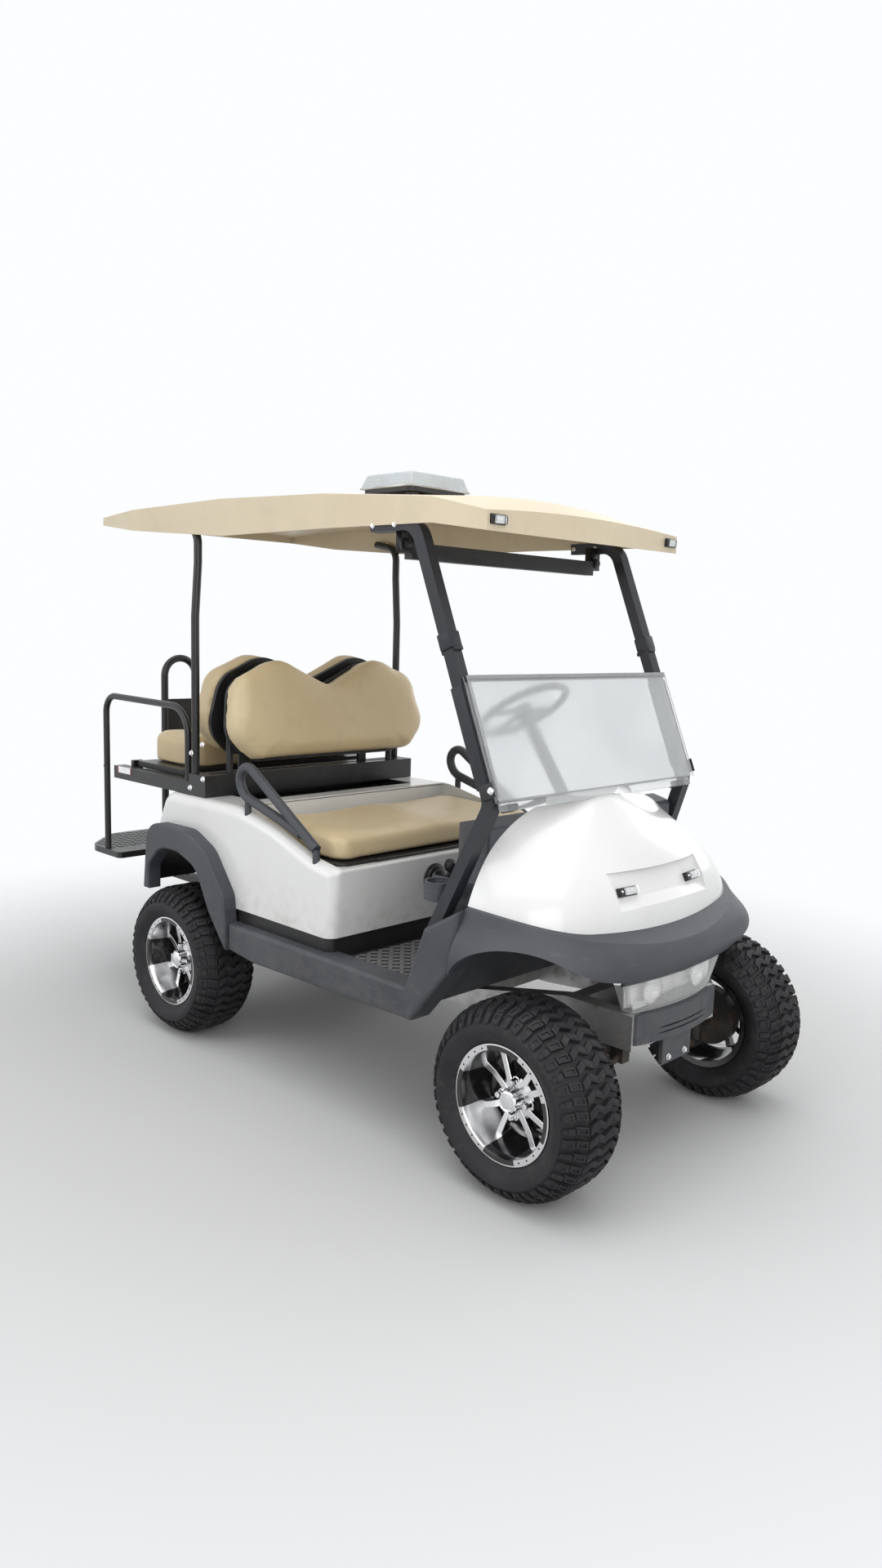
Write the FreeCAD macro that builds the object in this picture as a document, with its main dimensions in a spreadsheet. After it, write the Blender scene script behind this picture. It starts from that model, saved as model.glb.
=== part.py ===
import FreeCAD, Part
import math
import os
import Sketcher

# Four-seat electric golf cart with a raised chassis, knobby tyres, a roof on four
# struts, a folding windscreen and a rear seat that flips over into a load deck.
# Frame: +X forward, +Y left, +Z up, millimetres. The origin is on the ground under
# the middle of the overall length. Stations are given from the front or rear axle.

os.makedirs("parts", exist_ok=True)
doc = FreeCAD.newDocument("GolfCart")
Vector = FreeCAD.Vector
Rotation = FreeCAD.Rotation

# Driving dimensions: name, value and meaning
DRIVING = [
    ("wheelbase", 1664, "front axle to rear axle"),
    ("tyre_diameter", 556, "over the tread blocks"),
    ("tyre_width", 252, "over the side walls"),
    ("rim_radius", 166, "outer radius of the rim flange"),
    ("rim_width", 200, "over both rim flanges"),
    ("front_wheel_y", 502, "centre line to front wheel centre plane"),
    ("rear_wheel_y", 497, "centre line to rear wheel centre plane"),
    ("rear_reach", 886, "rear axle to the back of the centre grab bar"),
    ("running_gap", 0.3, "clearance of turning and seated parts"),
    ("spindle_radius", 13, "wheel spindle"),
    ("kingpin_y", 380, "centre line to kingpin axis"),
    ("kingpin_radius", 11, "steering pivot pin"),
    ("knuckle_height", 130, "height of the knuckle sleeve"),
    ("knuckle_radius", 20, "outside radius of the knuckle sleeve"),
    ("steering_arm", 120, "kingpin axis to tie rod pin"),
    ("rack_half_length", 180, "half length of the sliding rack"),
    ("rack_radius", 12, "radius of the sliding rack"),
    ("rod_end_gap", 2, "open pivot between rack and tie rod"),
    ("rail_inner_y", 170, "centre line to the inside of a frame rail"),
    ("rail_width", 50, "width of a frame rail"),
    ("rail_top", 404, "top of the frame rails under the floor"),
    ("floor_top", 475, "upper face of the floor pan"),
    ("floor_half_width", 500, "half width of the floor pan"),
    ("sill_outer_y", 585, "centre line to the outside of a sill"),
    ("body_half_width", 545, "half width of the rear body"),
    ("body_wall", 5, "moulded panel thickness"),
    ("body_top", 905, "height of the rear body deck"),
    ("seat_ledge", 772, "height of the ledge that carries the front seat"),
    ("flare_width", 55, "how far a wheel flare stands out from the body"),
    ("arch_radius", 215, "rear wheel arch"),
    ("arch_centre_z", 500, "height of the rear arch centre"),
    ("cowl_wall", 5, "front cowl thickness"),
    ("strut_size", 38, "front strut square tube"),
    ("rear_strut_radius", 15, "rear strut round tube"),
    ("screen_half_width", 492, "half width of the windscreen"),
    ("screen_thickness", 5, "acrylic sheet"),
    ("roof_half_width", 508, "half width of the roof"),
    ("roof_wall", 5, "roof thickness"),
    ("frame_top_z", 955, "upper face of the rear seat frame rails"),
    ("deck_side_gap", 8, "between the flip deck and the seat frame's rail"),
    ("frame_rail_width", 50, "width of a rear seat frame rail"),
    ("flip_hinge_back", 471, "rear axle to the flip seat hinge"),
    ("flip_hinge_z", 967, "height of the flip seat hinge"),
    ("deck_depth", 362, "front to back size of the flip deck"),
    ("deck_thickness", 24, "thickness of the flip deck"),
    ("deck_half_width", 460, "half width of the flip deck"),
    ("grab_bar_radius", 12.7, "side grab bar tube"),
    ("grab_bar_y", 505, "centre line to a side grab bar"),
    ("grab_bar_top", 1235, "height of a side grab bar"),
    ("hoop_radius", 16, "centre grab bar tube"),
    ("hoop_half_width", 80, "centre line to a leg of the centre grab bar"),
    ("hoop_top", 1390, "height of the centre grab bar"),
    ("step_top", 600, "upper face of the rear step"),
    ("step_half_width", 522, "half width of the rear step"),
    ("step_front_back", 496, "rear axle to the front edge of the step"),
    ("seat_half_width", 498, "half width of the front cushion"),
    ("rear_seat_half_width", 420, "half width of the rear cushion"),
    ("seatback_width", 960, "width of a seatback"),
    ("seatback_thickness", 105, "thickness of a seatback cushion"),
    ("cup_radius", 38, "cup holder bore"),
    ("cup_depth", 62, "cup holder depth"),
    ("wheel_tilt", 35, "steering column angle from vertical, degrees"),
    ("steering_wheel_radius", 165, "rim centre line of the steering wheel"),
    ("hip_rail_radius", 17, "hip rail tube"),
    ("hip_rail_y", 525, "centre line to a hip rail"),
    ("hitch_hole_radius", 6.5, "bolt holes of the hitch plate"),
    ("hitch_hole_spacing", 100, "hitch holes side to side"),
    ("hitch_hole_rise", 50, "hitch holes up and down"),
    ("shell_thickness", 16, "shell behind a seatback cushion"),
    ("column_radius", 23, "steering column tube"),
    ("column_shaft_radius", 14, "steering shaft in the column"),
    ("hinge_radius", 7, "hinge barrel of the flip seat"),
]

sheet = doc.addObject("Spreadsheet::Sheet", "Sizes")
for row, (alias, number, meaning) in enumerate(DRIVING, start=1):
    sheet.set(f"A{row}", meaning)
    sheet.set(f"B{row}", str(number))
    sheet.setAlias(f"B{row}", alias)
doc.recompute()


class Size:
    """A length that holds its number and the expression that it comes from."""

    def __init__(self, number, text):
        self.number = float(number)
        self.text = text

    def __add__(self, other):
        return Size(self.number + num(other), f"({self.text} + {text_of(other)})")

    def __radd__(self, other):
        return Size(num(other) + self.number, f"({text_of(other)} + {self.text})")

    def __sub__(self, other):
        return Size(self.number - num(other), f"({self.text} - {text_of(other)})")

    def __rsub__(self, other):
        return Size(num(other) - self.number, f"({text_of(other)} - {self.text})")

    def __mul__(self, other):
        return Size(self.number * num(other), f"({self.text} * {text_of(other)})")

    __rmul__ = __mul__

    def __truediv__(self, other):
        return Size(self.number / num(other), f"({self.text} / {text_of(other)})")

    def __neg__(self):
        return Size(-self.number, f"(0 - {self.text})")


def num(value):
    return value.number if isinstance(value, Size) else float(value)


def text_of(value):
    if isinstance(value, Size):
        return value.text
    return repr(float(value)) if value >= 0 else f"(0 - {repr(float(-value))})"


class Sizes:
    """Every driving dimension by its name."""


S = Sizes()
for alias, number, meaning in DRIVING:
    setattr(S, alias, Size(sheet.get(alias), f"Sizes.{alias}"))

PARTS = []
counter = {"name": 0}


def unique(stem):
    counter["name"] += 1
    return f"{stem}_{counter['name']}"


def bind(obj, prop, value):
    """Set a property to a number, or to the expression of a size."""
    if isinstance(value, Size):
        obj.setExpression(prop, value.text)
    else:
        target = obj
        steps = prop.split(".")
        if len(steps) == 1:
            setattr(obj, prop, value)
            return
        spot = obj.Placement
        base = Vector(spot.Base)
        setattr(base, steps[-1], float(value))
        target.Placement = FreeCAD.Placement(base, spot.Rotation)


def place(obj, x=0, y=0, z=0, rotation=None):
    """Put an object at a point, with its turn."""
    if rotation is not None:
        obj.Placement = FreeCAD.Placement(Vector(0, 0, 0), rotation)
    for axis, value in (("x", x), ("y", y), ("z", z)):
        bind(obj, f"Placement.Base.{axis}", value)
    return obj


def box(x, y, z):
    """A block between the low and high values of each axis."""
    obj = doc.addObject("Part::Box", unique("Block"))
    for prop, (low, high) in (("Length", x), ("Width", y), ("Height", z)):
        bind(obj, prop, high - low)
    return place(obj, x[0], y[0], z[0])


ALONG = {
    "x": Rotation(Vector(0, 1, 0), 90),
    "y": Rotation(Vector(1, 0, 0), -90),
    "z": Rotation(),
}


def bar(axis, x, y, z, length, radius):
    """A round bar that starts at x, y, z and runs along one axis."""
    obj = doc.addObject("Part::Cylinder", unique("Bar"))
    bind(obj, "Radius", radius)
    bind(obj, "Height", length)
    return place(obj, x, y, z, ALONG[axis])


def solid(shape, stem="Form"):
    """A form made from exact curves."""
    obj = doc.addObject("Part::Feature", unique(stem))
    obj.Shape = shape
    return obj


def fuse(parts):
    obj = doc.addObject("Part::MultiFuse", unique("Joined"))
    obj.Shapes = parts
    return obj


def cut(base, tools):
    """The base with every tool taken away."""
    obj = doc.addObject("Part::Cut", unique("Cut"))
    obj.Base = base
    obj.Tool = tools[0] if len(tools) == 1 else fuse(tools)
    return obj


def group(parts):
    """Solids that share a node without touching."""
    obj = doc.addObject("Part::Compound", unique("Group"))
    obj.Links = parts
    return obj


def node(label, obj):
    """Name a finished sub-part, which also names its file."""
    obj.Label = label
    PARTS.append(obj)
    return obj


def origin_plane(body, role):
    return next(f for f in body.Origin.OriginFeatures if f.Role == role)


def sketch(body, role, outline):
    """A closed outline of straight lines, each corner bound to its sizes."""
    flat = body.newObject("Sketcher::SketchObject", unique("Outline"))
    flat.AttachmentSupport = [(origin_plane(body, role), "")]
    flat.MapMode = "FlatFace"
    count = len(outline)
    for i, (u, v) in enumerate(outline):
        next_u, next_v = outline[(i + 1) % count]
        start = Vector(num(u), num(v), 0)
        flat.addGeometry(Part.LineSegment(start, Vector(num(next_u), num(next_v), 0)))
    for i in range(count):
        flat.addConstraint(Sketcher.Constraint("Coincident", i, 2, (i + 1) % count, 1))
    for i, (u, v) in enumerate(outline):
        for kind, value in (("DistanceX", u), ("DistanceY", v)):
            index = flat.addConstraint(Sketcher.Constraint(kind, -1, 1, i, 1, num(value)))
            if isinstance(value, Size):
                flat.setExpression(f"Constraints[{index}]", value.text)
    return flat


def new_body():
    return doc.addObject("PartDesign::Body", unique("Body"))


def padded(role, outline, low, high):
    """A body padded from an outline, between two values along the plane's normal."""
    body = new_body()
    pad = body.newObject("PartDesign::Pad", unique("Pad"))
    pad.Profile = sketch(body, role, outline)
    bind(pad, "Length", high - low)
    body.Tip = pad
    if role == "XY_Plane":
        place(body, 0, 0, low)
    elif role == "XZ_Plane":
        place(body, 0, high, 0)
    else:
        place(body, low, 0, 0)
    return body


def rounded(body, radius, chooser):
    """Round the edges of a body that the chooser picks."""
    doc.recompute()
    base = body.Tip
    placed = base.Shape.copy()
    placed.Placement = body.Placement.multiply(placed.Placement)
    names = [f"Edge{i + 1}" for i, edge in enumerate(placed.Edges) if chooser(edge)]
    fillet = body.newObject("PartDesign::Fillet", unique("Round"))
    fillet.Base = (base, names)
    bind(fillet, "Radius", radius)
    body.Tip = fillet
    return body


def runs_along(axis, tolerance=0.02):
    """Choose straight edges along one axis."""
    direction = {"x": Vector(1, 0, 0), "y": Vector(0, 1, 0), "z": Vector(0, 0, 1)}[axis]

    def chooser(edge):
        if not isinstance(edge.Curve, Part.Line):
            return False
        return abs(abs(edge.Curve.Direction.dot(direction)) - 1) < tolerance
    return chooser


def revolved(outline):
    """A body of revolution about Z from radius and height pairs."""
    body = new_body()
    turn = body.newObject("PartDesign::Revolution", unique("Turned"))
    profile = sketch(body, "XZ_Plane", outline)
    turn.Profile = profile
    turn.ReferenceAxis = (profile, ["V_Axis"])
    turn.Angle = 360
    body.Tip = turn
    return body


def path_wire(points, bends):
    """Straight runs through the points, joined by tangent arcs of the given radii."""
    points = [Vector(*[num(c) for c in p]) for p in points]
    edges = []
    start = points[0]
    for i in range(1, len(points) - 1):
        before = (points[i] - points[i - 1]).normalize()
        after = (points[i + 1] - points[i]).normalize()
        turn = before.getAngle(after)
        radius = bends[i - 1] if isinstance(bends, (list, tuple)) else bends
        reach = num(radius) * math.tan(turn / 2)
        arc_start = points[i] - before * reach
        arc_end = points[i] + after * reach
        normal = (after - before).normalize()
        middle = points[i] + normal * (num(radius) * (1 / math.cos(turn / 2) - 1))
        if (arc_start - start).Length > 1e-6:
            edges.append(Part.LineSegment(start, arc_start).toShape())
        edges.append(Part.Arc(arc_start, middle, arc_end).toShape())
        start = arc_end
    edges.append(Part.LineSegment(start, points[-1]).toShape())
    return Part.Wire(edges)


def bent_tube(points, radius, bends):
    """A round tube, solid inside, along straight runs and bends."""
    spine = path_wire(points, bends)
    start = Vector(*[num(c) for c in points[0]])
    heading = Vector(*[num(c) for c in points[1]]) - start
    ring = Part.Wire([Part.Circle(start, heading, num(radius)).toShape()])
    return spine.makePipeShell([ring], True, False)


def bent_square(points, size, bends):
    """A square tube along straight runs and bends in one upright plane."""
    spine = path_wire(points, bends)
    start = Vector(*[num(c) for c in points[0]])
    ahead = (Vector(*[num(c) for c in points[1]]) - start).normalize()
    across = Vector(0, 1, 0)
    across = (across - ahead * across.dot(ahead)).normalize()
    up = ahead.cross(across)
    half = num(size) / 2
    corners = [start + across * (a * half) + up * (b * half)
               for a, b in ((1, 1), (-1, 1), (-1, -1), (1, -1))]
    ring = Part.makePolygon(corners + [corners[0]])
    return spine.makePipeShell([ring], True, False)


def outline_wire(points, plane, offset=0.0):
    """A closed wire. A point is (u, v), or (u, v, "arc") where an arc passes through it."""
    spots = {
        "xz": lambda u, v: Vector(num(u), num(offset), num(v)),
        "xy": lambda u, v: Vector(num(u), num(v), num(offset)),
        "yz": lambda u, v: Vector(num(offset), num(u), num(v)),
    }[plane]
    edges = []
    count = len(points)
    i = 0
    while i < count:
        here = spots(points[i][0], points[i][1])
        following = points[(i + 1) % count]
        if len(following) == 3:
            end = points[(i + 2) % count]
            middle = spots(following[0], following[1])
            edges.append(Part.Arc(here, middle, spots(end[0], end[1])).toShape())
            i += 2
        else:
            edges.append(Part.LineSegment(here, spots(following[0], following[1])).toShape())
            i += 1
    return Part.Wire(edges)


def rounded_wire(points, plane, offset=0.0):
    """A closed wire of lines and tangent arcs. A point is (u, v, radius of its corner)."""
    spots = {
        "xz": lambda u, v: Vector(num(u), num(offset), num(v)),
        "xy": lambda u, v: Vector(num(u), num(v), num(offset)),
        "yz": lambda u, v: Vector(num(offset), num(u), num(v)),
    }[plane]
    count = len(points)
    corners = [spots(point[0], point[1]) for point in points]
    edges = []
    ends = []
    for i, point in enumerate(points):
        here = corners[i]
        before = (here - corners[i - 1]).normalize()
        after = (corners[(i + 1) % count] - here).normalize()
        radius = num(point[2])
        turn = before.getAngle(after)
        if radius <= 0 or turn < 0.01:
            ends.append((here, None, here))
            continue
        reach = radius * math.tan(turn / 2)
        normal = (after - before).normalize()
        middle = here + normal * (radius * (1 / math.cos(turn / 2) - 1))
        ends.append((here - before * reach, middle, here + after * reach))
    for i, (arc_start, middle, arc_end) in enumerate(ends):
        if middle is not None:
            edges.append(Part.Arc(arc_start, middle, arc_end).toShape())
        following = ends[(i + 1) % count][0]
        if (following - arc_end).Length > 1e-4:
            edges.append(Part.LineSegment(arc_end, following).toShape())
    return Part.Wire(edges)


NORMALS = {"xz": Vector(0, 1, 0), "xy": Vector(0, 0, 1), "yz": Vector(1, 0, 0)}


def slab(points, plane, low, high):
    """A plate cut to an outline, between two values along the plane's normal."""
    face = Part.Face(outline_wire(points, plane, low))
    return face.extrude(NORMALS[plane] * (num(high) - num(low)))


def rounded_slab(points, plane, low, high):
    """A plate cut to an outline with tangent arcs at its corners."""
    face = Part.Face(rounded_wire(points, plane, low))
    return face.extrude(NORMALS[plane] * (num(high) - num(low)))


def lofted(wires, ruled=False):
    return Part.makeLoft(wires, True, ruled)


def soften(shape, radius, chooser):
    """Round the chosen edges of a plain shape."""
    edges = [edge for edge in shape.Edges if chooser(edge)]
    return shape.makeFillet(num(radius), edges)


def on_plane(axis, value, tolerance=0.05):
    """Choose edges that lie wholly in one plane."""
    def chooser(edge):
        limits = edge.BoundBox
        low = {"x": limits.XMin, "y": limits.YMin, "z": limits.ZMin}[axis]
        high = {"x": limits.XMax, "y": limits.YMax, "z": limits.ZMax}[axis]
        return abs(low - num(value)) < tolerance and abs(high - num(value)) < tolerance
    return chooser


# Stations that the rest is set out from
front_axle = (S.wheelbase + S.rear_reach - S.tyre_diameter / 2) / 2
rear_axle = front_axle - S.wheelbase
axle_z = S.tyre_diameter / 2
gap = S.running_gap
rail_outer_y = S.rail_inner_y + S.rail_width
flare_outer_y = S.body_half_width + S.flare_width
frame_outer_y = S.deck_half_width + S.deck_side_gap + S.frame_rail_width
roof_inner_y = S.roof_half_width - S.roof_wall
strut_top_y = roof_inner_y - S.strut_size / 2 - gap
strut_top_z = 1838
rod_z = axle_z + 17
rod_pin = 6
sill_top = S.floor_top + 24
RIGHT = -1
LEFT = 1
SIDES = (("right", RIGHT), ("left", LEFT))


def fore(distance):
    """A station measured forward from the front axle."""
    return front_axle + distance


def aft(distance):
    """A station measured forward from the rear axle."""
    return rear_axle + distance


def span(side, low, high):
    """A range across the cart on one side."""
    return (low, high) if side == LEFT else (-high, -low)


pinion_x = fore(-S.steering_arm - 22)
pinion_y = 45
pinion_top = rod_z + 40
toe_front = fore(-262)
toe_top = 690

# Frame rails of the chassis, from the front beam to the rear hitch plate
rail_kick = 370
beam_bottom = rail_kick + 6
rail_front_top = 474
rail_bottom = S.rail_top - 70
rear_rail_top = 470
rear_rail_bottom = 400
hitch_z = (rear_rail_bottom + rear_rail_top) / 2 - 20
rail_front = fore(150)
rail_rear = aft(-330)


def make_chassis():
    outline = [
        (rail_front, rail_kick), (rail_front, rail_front_top), (fore(-90), rail_front_top),
        (fore(-440), S.rail_top), (aft(440), S.rail_top), (aft(300), rear_rail_top),
        (rail_rear, rear_rail_top), (rail_rear, rear_rail_bottom), (aft(290), rear_rail_bottom),
        (aft(400), rail_bottom), (fore(-470), rail_bottom), (fore(-90), rail_kick),
    ]
    pieces = []
    for _, side in SIDES:
        low, high = span(side, S.rail_inner_y, rail_outer_y)
        pieces.append(padded("XZ_Plane", outline, low, high))
    inside = (-S.rail_inner_y, S.rail_inner_y)
    # Cross beams: station low, station high, bottom, top
    beams = [
        (fore(100), rail_front, rail_kick, rail_front_top - 10),
        (fore(-130), fore(-80), beam_bottom, rail_front_top - 20),
        (fore(-560), fore(-510), rail_bottom, S.rail_top),
        (aft(560), aft(610), rail_bottom, S.rail_top),
        (rail_rear, rail_rear + 40, rear_rail_bottom, rear_rail_top),
    ]
    for low, high, bottom, top in beams:
        pieces.append(box((low, high), inside, (bottom, top)))
    plate_half = S.hitch_hole_spacing / 2 + 30
    plate = box((rail_rear - 8, rail_rear), (-plate_half, plate_half),
                (rear_rail_bottom - 30, rear_rail_top))
    holes = []
    for across in (-1, 1):
        for up in (-1, 1):
            holes.append(bar("x", rail_rear - 20, S.hitch_hole_spacing / 2 * across,
                             hitch_z + S.hitch_hole_rise / 2 * up, 80, S.hitch_hole_radius))
    node("chassis_frame", cut(fuse(pieces + [plate]), holes))


# Front suspension: beam under the rails, arms and the yokes that hold the kingpins
yoke_web_y = S.kingpin_y - 48
ear_thickness = 13
ear_low = axle_z - S.knuckle_height / 2 - gap
ear_high = axle_z + S.knuckle_height / 2 + gap
arm_pivot = 66


def make_front_suspension():
    beam_top = rail_kick - gap
    pieces = [box((fore(-45), fore(45)), (-rail_outer_y, rail_outer_y), (300, beam_top))]
    for _, side in SIDES:
        low, high = span(side, yoke_web_y, yoke_web_y + 14)
        pieces.append(box((fore(-22), fore(22)), (low, high),
                          (ear_low - ear_thickness, ear_high + ear_thickness)))
        low, high = span(side, yoke_web_y, S.kingpin_y)
        for bottom in (ear_low - ear_thickness, ear_high):
            pieces.append(box((fore(-22), fore(22)), (low, high), (bottom, bottom + ear_thickness)))
            pieces.append(bar("z", fore(0), S.kingpin_y * side, bottom, ear_thickness, 22))
        pieces.append(bar("z", fore(0), S.kingpin_y * side, ear_low - ear_thickness - 4,
                          ear_high - ear_low + 2 * ear_thickness + 8, S.kingpin_radius))
        for reach in (-1, 1):
            arm = [(fore(arm_pivot * reach), side * 150, 318),
                   (fore(14 * reach), side * (yoke_web_y + 4), ear_low - 2)]
            pieces.append(solid(bent_tube(arm, 11, [])))
            pieces.append(box((fore(arm_pivot * reach - 20), fore(arm_pivot * reach + 20)),
                              span(side, 130, 165), (300, beam_top)))
        low, high = span(side, rail_outer_y - 10, yoke_web_y + 6)
        pieces.append(box((fore(-25), fore(25)), (low, high), (ear_high, ear_high + 10)))
    node("front_suspension", fuse(pieces))


def make_knuckle(name, side):
    y_pin = S.kingpin_y * side
    sleeve = bar("z", fore(0), y_pin, axle_z - S.knuckle_height / 2, S.knuckle_height,
                 S.knuckle_radius)
    low, high = span(side, S.kingpin_y, S.front_wheel_y + 15)
    spindle = bar("y", fore(0), low, axle_z, high - low, S.spindle_radius)
    low, high = span(side, S.kingpin_y, S.kingpin_y + 38)
    hub = bar("y", fore(0), low, axle_z, high - low, 30)
    arm = box((fore(-S.steering_arm), fore(0)), (y_pin - 11, y_pin + 11), (axle_z - 7, axle_z + 7))
    arm_end = bar("z", fore(-S.steering_arm), y_pin, axle_z - 7, 14, 12)
    pin = bar("z", fore(-S.steering_arm), y_pin, axle_z - 7, 36, rod_pin)
    bore = bar("z", fore(0), y_pin, axle_z - S.knuckle_height, S.knuckle_height * 2,
               S.kingpin_radius + gap)
    node(f"knuckle_{name}", cut(fuse([sleeve, spindle, hub, arm, arm_end, pin]), [bore]))


def make_tie_rod(name, side):
    low, high = span(side, S.rack_half_length + S.rod_end_gap, S.kingpin_y)
    rod = bar("y", fore(-S.steering_arm), low, rod_z, high - low, 8)
    eye = bar("z", fore(-S.steering_arm), S.kingpin_y * side, rod_z - 9.5, 19, 14)
    low, high = span(side, S.rack_half_length + S.rod_end_gap, S.rack_half_length + 30)
    socket = bar("y", fore(-S.steering_arm), low, rod_z, high - low, 12)
    bore = bar("z", fore(-S.steering_arm), S.kingpin_y * side, rod_z - 30, 60, rod_pin + gap)
    node(f"tie_rod_{name}", cut(fuse([rod, eye, socket]), [bore]))


def make_steering_rack():
    housing_half = 108
    housing = bar("y", fore(-S.steering_arm), -housing_half, rod_z, 2 * housing_half,
                  S.rack_radius + 11)
    hangers = [box((fore(-S.steering_arm) - 10, fore(-S.steering_arm) + 16), (y - 8, y + 8),
                   (rod_z, beam_bottom - gap)) for y in (-80, 80)]
    pinion = bar("z", pinion_x, pinion_y, rod_z - 26, pinion_top - rod_z + 26, 20)
    bore = bar("y", fore(-S.steering_arm), -200, rod_z, 400, S.rack_radius + gap)
    node("steering_rack", cut(fuse([housing, pinion] + hangers), [bore]))
    node("rack_bar", bar("y", fore(-S.steering_arm), -S.rack_half_length, rod_z,
                         2 * S.rack_half_length, S.rack_radius))


# Tread of the tyres
tread_pitches = 12
carcass_sides = 2 * tread_pitches
lug_rise = 12


# Wheels: a dished rim with four twin spokes, and a wide tyre of a solid ring
def make_rim(label, x, y, side):
    half = S.rim_width / 2
    bead = S.rim_radius - 14
    body = revolved([
        (S.rim_radius, half), (S.rim_radius, half - 6), (bead, half - 8), (bead, half - 40),
        (bead - 16, 20), (bead - 16, -half + 60), (bead, -half + 40), (bead, -half + 8),
        (S.rim_radius, -half + 6), (S.rim_radius, -half), (bead - 5, -half),
        (bead - 5, -half + 42), (bead - 22, -half + 62), (bead - 22, 18), (bead - 8, half - 34),
        (bead - 5, half - 8), (S.rim_radius - 6, half),
    ])
    spokes = []
    for side_bar in (-1, 1):
        shift = 15 * side_bar
        spoke = padded("XY_Plane", [
            (36, shift * 0.8 - 8), (bead - 18, shift * 1.7 - 8), (bead - 18, shift * 1.7 + 8),
            (36, shift * 0.8 + 8)], 4, 20)
        spokes.append(spoke)
    turned = []
    for quarter in range(4):
        for spoke in spokes:
            copy = doc.addObject("Part::Feature", unique("Spoke"))
            doc.recompute()
            shape = spoke.Shape.copy()
            shape.rotate(Vector(0, 0, 0), Vector(0, 0, 1), 90 * quarter + 45)
            copy.Shape = shape
            turned.append(copy)
    hub = bar("z", 0, 0, 0, 22, 52)
    drum = bar("z", 0, 0, -56, 57, 60)
    cap = doc.addObject("Part::Cone", unique("Cap"))
    cap.Radius1 = 34
    cap.Radius2 = 30
    cap.Height = 34
    place(cap, 0, 0, 22)
    bore = bar("z", 0, 0, -80, 80 + 18, S.spindle_radius + gap)
    rim = cut(fuse([body, hub, drum, cap] + turned), [bore])
    rotation = Rotation(Vector(1, 0, 0), -90 * side)
    place(rim, x, y * side, axle_z, rotation)
    node(label, rim)


def make_tyre_form():
    """A many-sided carcass with a chevron lug and two shoulder lugs at each pitch."""
    half = num(S.tyre_width) / 2
    bead = num(S.rim_radius) - 14 + num(gap)
    seat = num(S.rim_width) / 2 - 9
    tread = num(S.tyre_diameter) / 2
    # Radius to a flat of the carcass and distance from the tyre's middle plane
    rows = [(bead, seat), (num(S.rim_radius) + 1, seat + 3), (tread - 62, half), (tread - 24, half - 18),
            (tread - lug_rise, half - 58)]
    rows += [(radius, -reach) for radius, reach in reversed(rows)]
    step = 2 * math.pi / carcass_sides

    def corner(row, k):
        radius = row[0] / math.cos(step / 2)
        angle = step * (k + 0.5)
        return Vector(radius * math.cos(angle), radius * math.sin(angle), row[1])
    faces = []
    for k in range(carcass_sides):
        for row, following in zip(rows, rows[1:] + rows[:1]):
            ring = [corner(row, k), corner(row, k + 1), corner(following, k + 1), corner(following, k)]
            faces.append(Part.Face(Part.makePolygon(ring + ring[:1])))
    carcass = Part.makeSolid(Part.makeShell(faces))
    lugs = []
    root = tread - lug_rise - 10
    for k in range(tread_pitches):
        turn = Rotation(Vector(0, 0, 1), 360 / tread_pitches * k)
        arms = half - 60
        chevron = [(-34, -arms), (-8, 0), (-34, arms), (6, arms), (33, 0), (6, -arms)]
        corners = [Vector(root, along, across) for along, across in chevron]
        block = Part.Face(Part.makePolygon(corners + corners[:1])).extrude(Vector(tread - root, 0, 0))
        lugs.append(block)
        for hand in (-1, 1):
            # Radius and distance from the middle plane of a shoulder lug's outline
            outline = [(root - 20, half - 50), (tread, half - 54), (tread - 8, half - 16),
                       (tread - 52, half + 1)]
            corners = [Vector(radius, 17 * hand - 17, hand * reach) for radius, reach in outline]
            lugs.append(Part.Face(Part.makePolygon(corners + corners[:1])).extrude(Vector(0, 34, 0)))
        for lug in lugs[-3:]:
            lug.rotate(Vector(0, 0, 0), turn.Axis, math.degrees(turn.Angle))
    form = carcass.fuse(lugs).removeSplitter()
    form.rotate(Vector(0, 0, 0), Vector(0, 0, 1), 90)
    return form


def make_tyre(label, x, y, side, form):
    tyre = solid(form.copy())
    place(tyre, x, y * side, axle_z, Rotation(Vector(1, 0, 0), -90 * side))
    node(label, tyre)


def make_rear_axle():
    tube = bar("y", aft(0), -S.rear_wheel_y + 62, axle_z, 2 * (S.rear_wheel_y - 62), 38)
    stubs = bar("y", aft(0), -S.rear_wheel_y - 15, axle_z, 2 * (S.rear_wheel_y + 15),
                S.spindle_radius)
    drums = [bar("y", aft(0), S.rear_wheel_y * side - (62 + 40) * side if side == LEFT
                 else -S.rear_wheel_y + 62, axle_z, 40, 82) for _, side in SIDES]
    gearbox = soften(Part.makeBox(190, 130, 170, Vector(num(aft(-70)), 0, num(axle_z) - 85)),
                     30, lambda edge: True)
    motor = bar("y", aft(-125), -160, axle_z + 10, 165, 78)
    node("rear_axle", fuse([tube, stubs] + drums + [solid(gearbox), motor]))


def make_leaf_springs():
    """Two leaves bowed up over each side of the axle tube, with clamp plates."""
    springs = []
    for _, side in SIDES:
        low, high = span(side, S.rail_inner_y + 2, rail_outer_y - 2)
        end_z = rear_rail_bottom - 0.3
        centre_z = num(axle_z) + 38 + 0.3
        reach = 280
        band = [
            (aft(-reach), end_z - 16), (aft(0), centre_z, "arc"), (aft(reach), end_z - 16),
            (aft(reach), end_z), (aft(0), centre_z + 16, "arc"), (aft(-reach), end_z),
        ]
        springs.append(solid(slab(band, "xz", low, high)))
    node("leaf_springs", group(springs))


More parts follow.
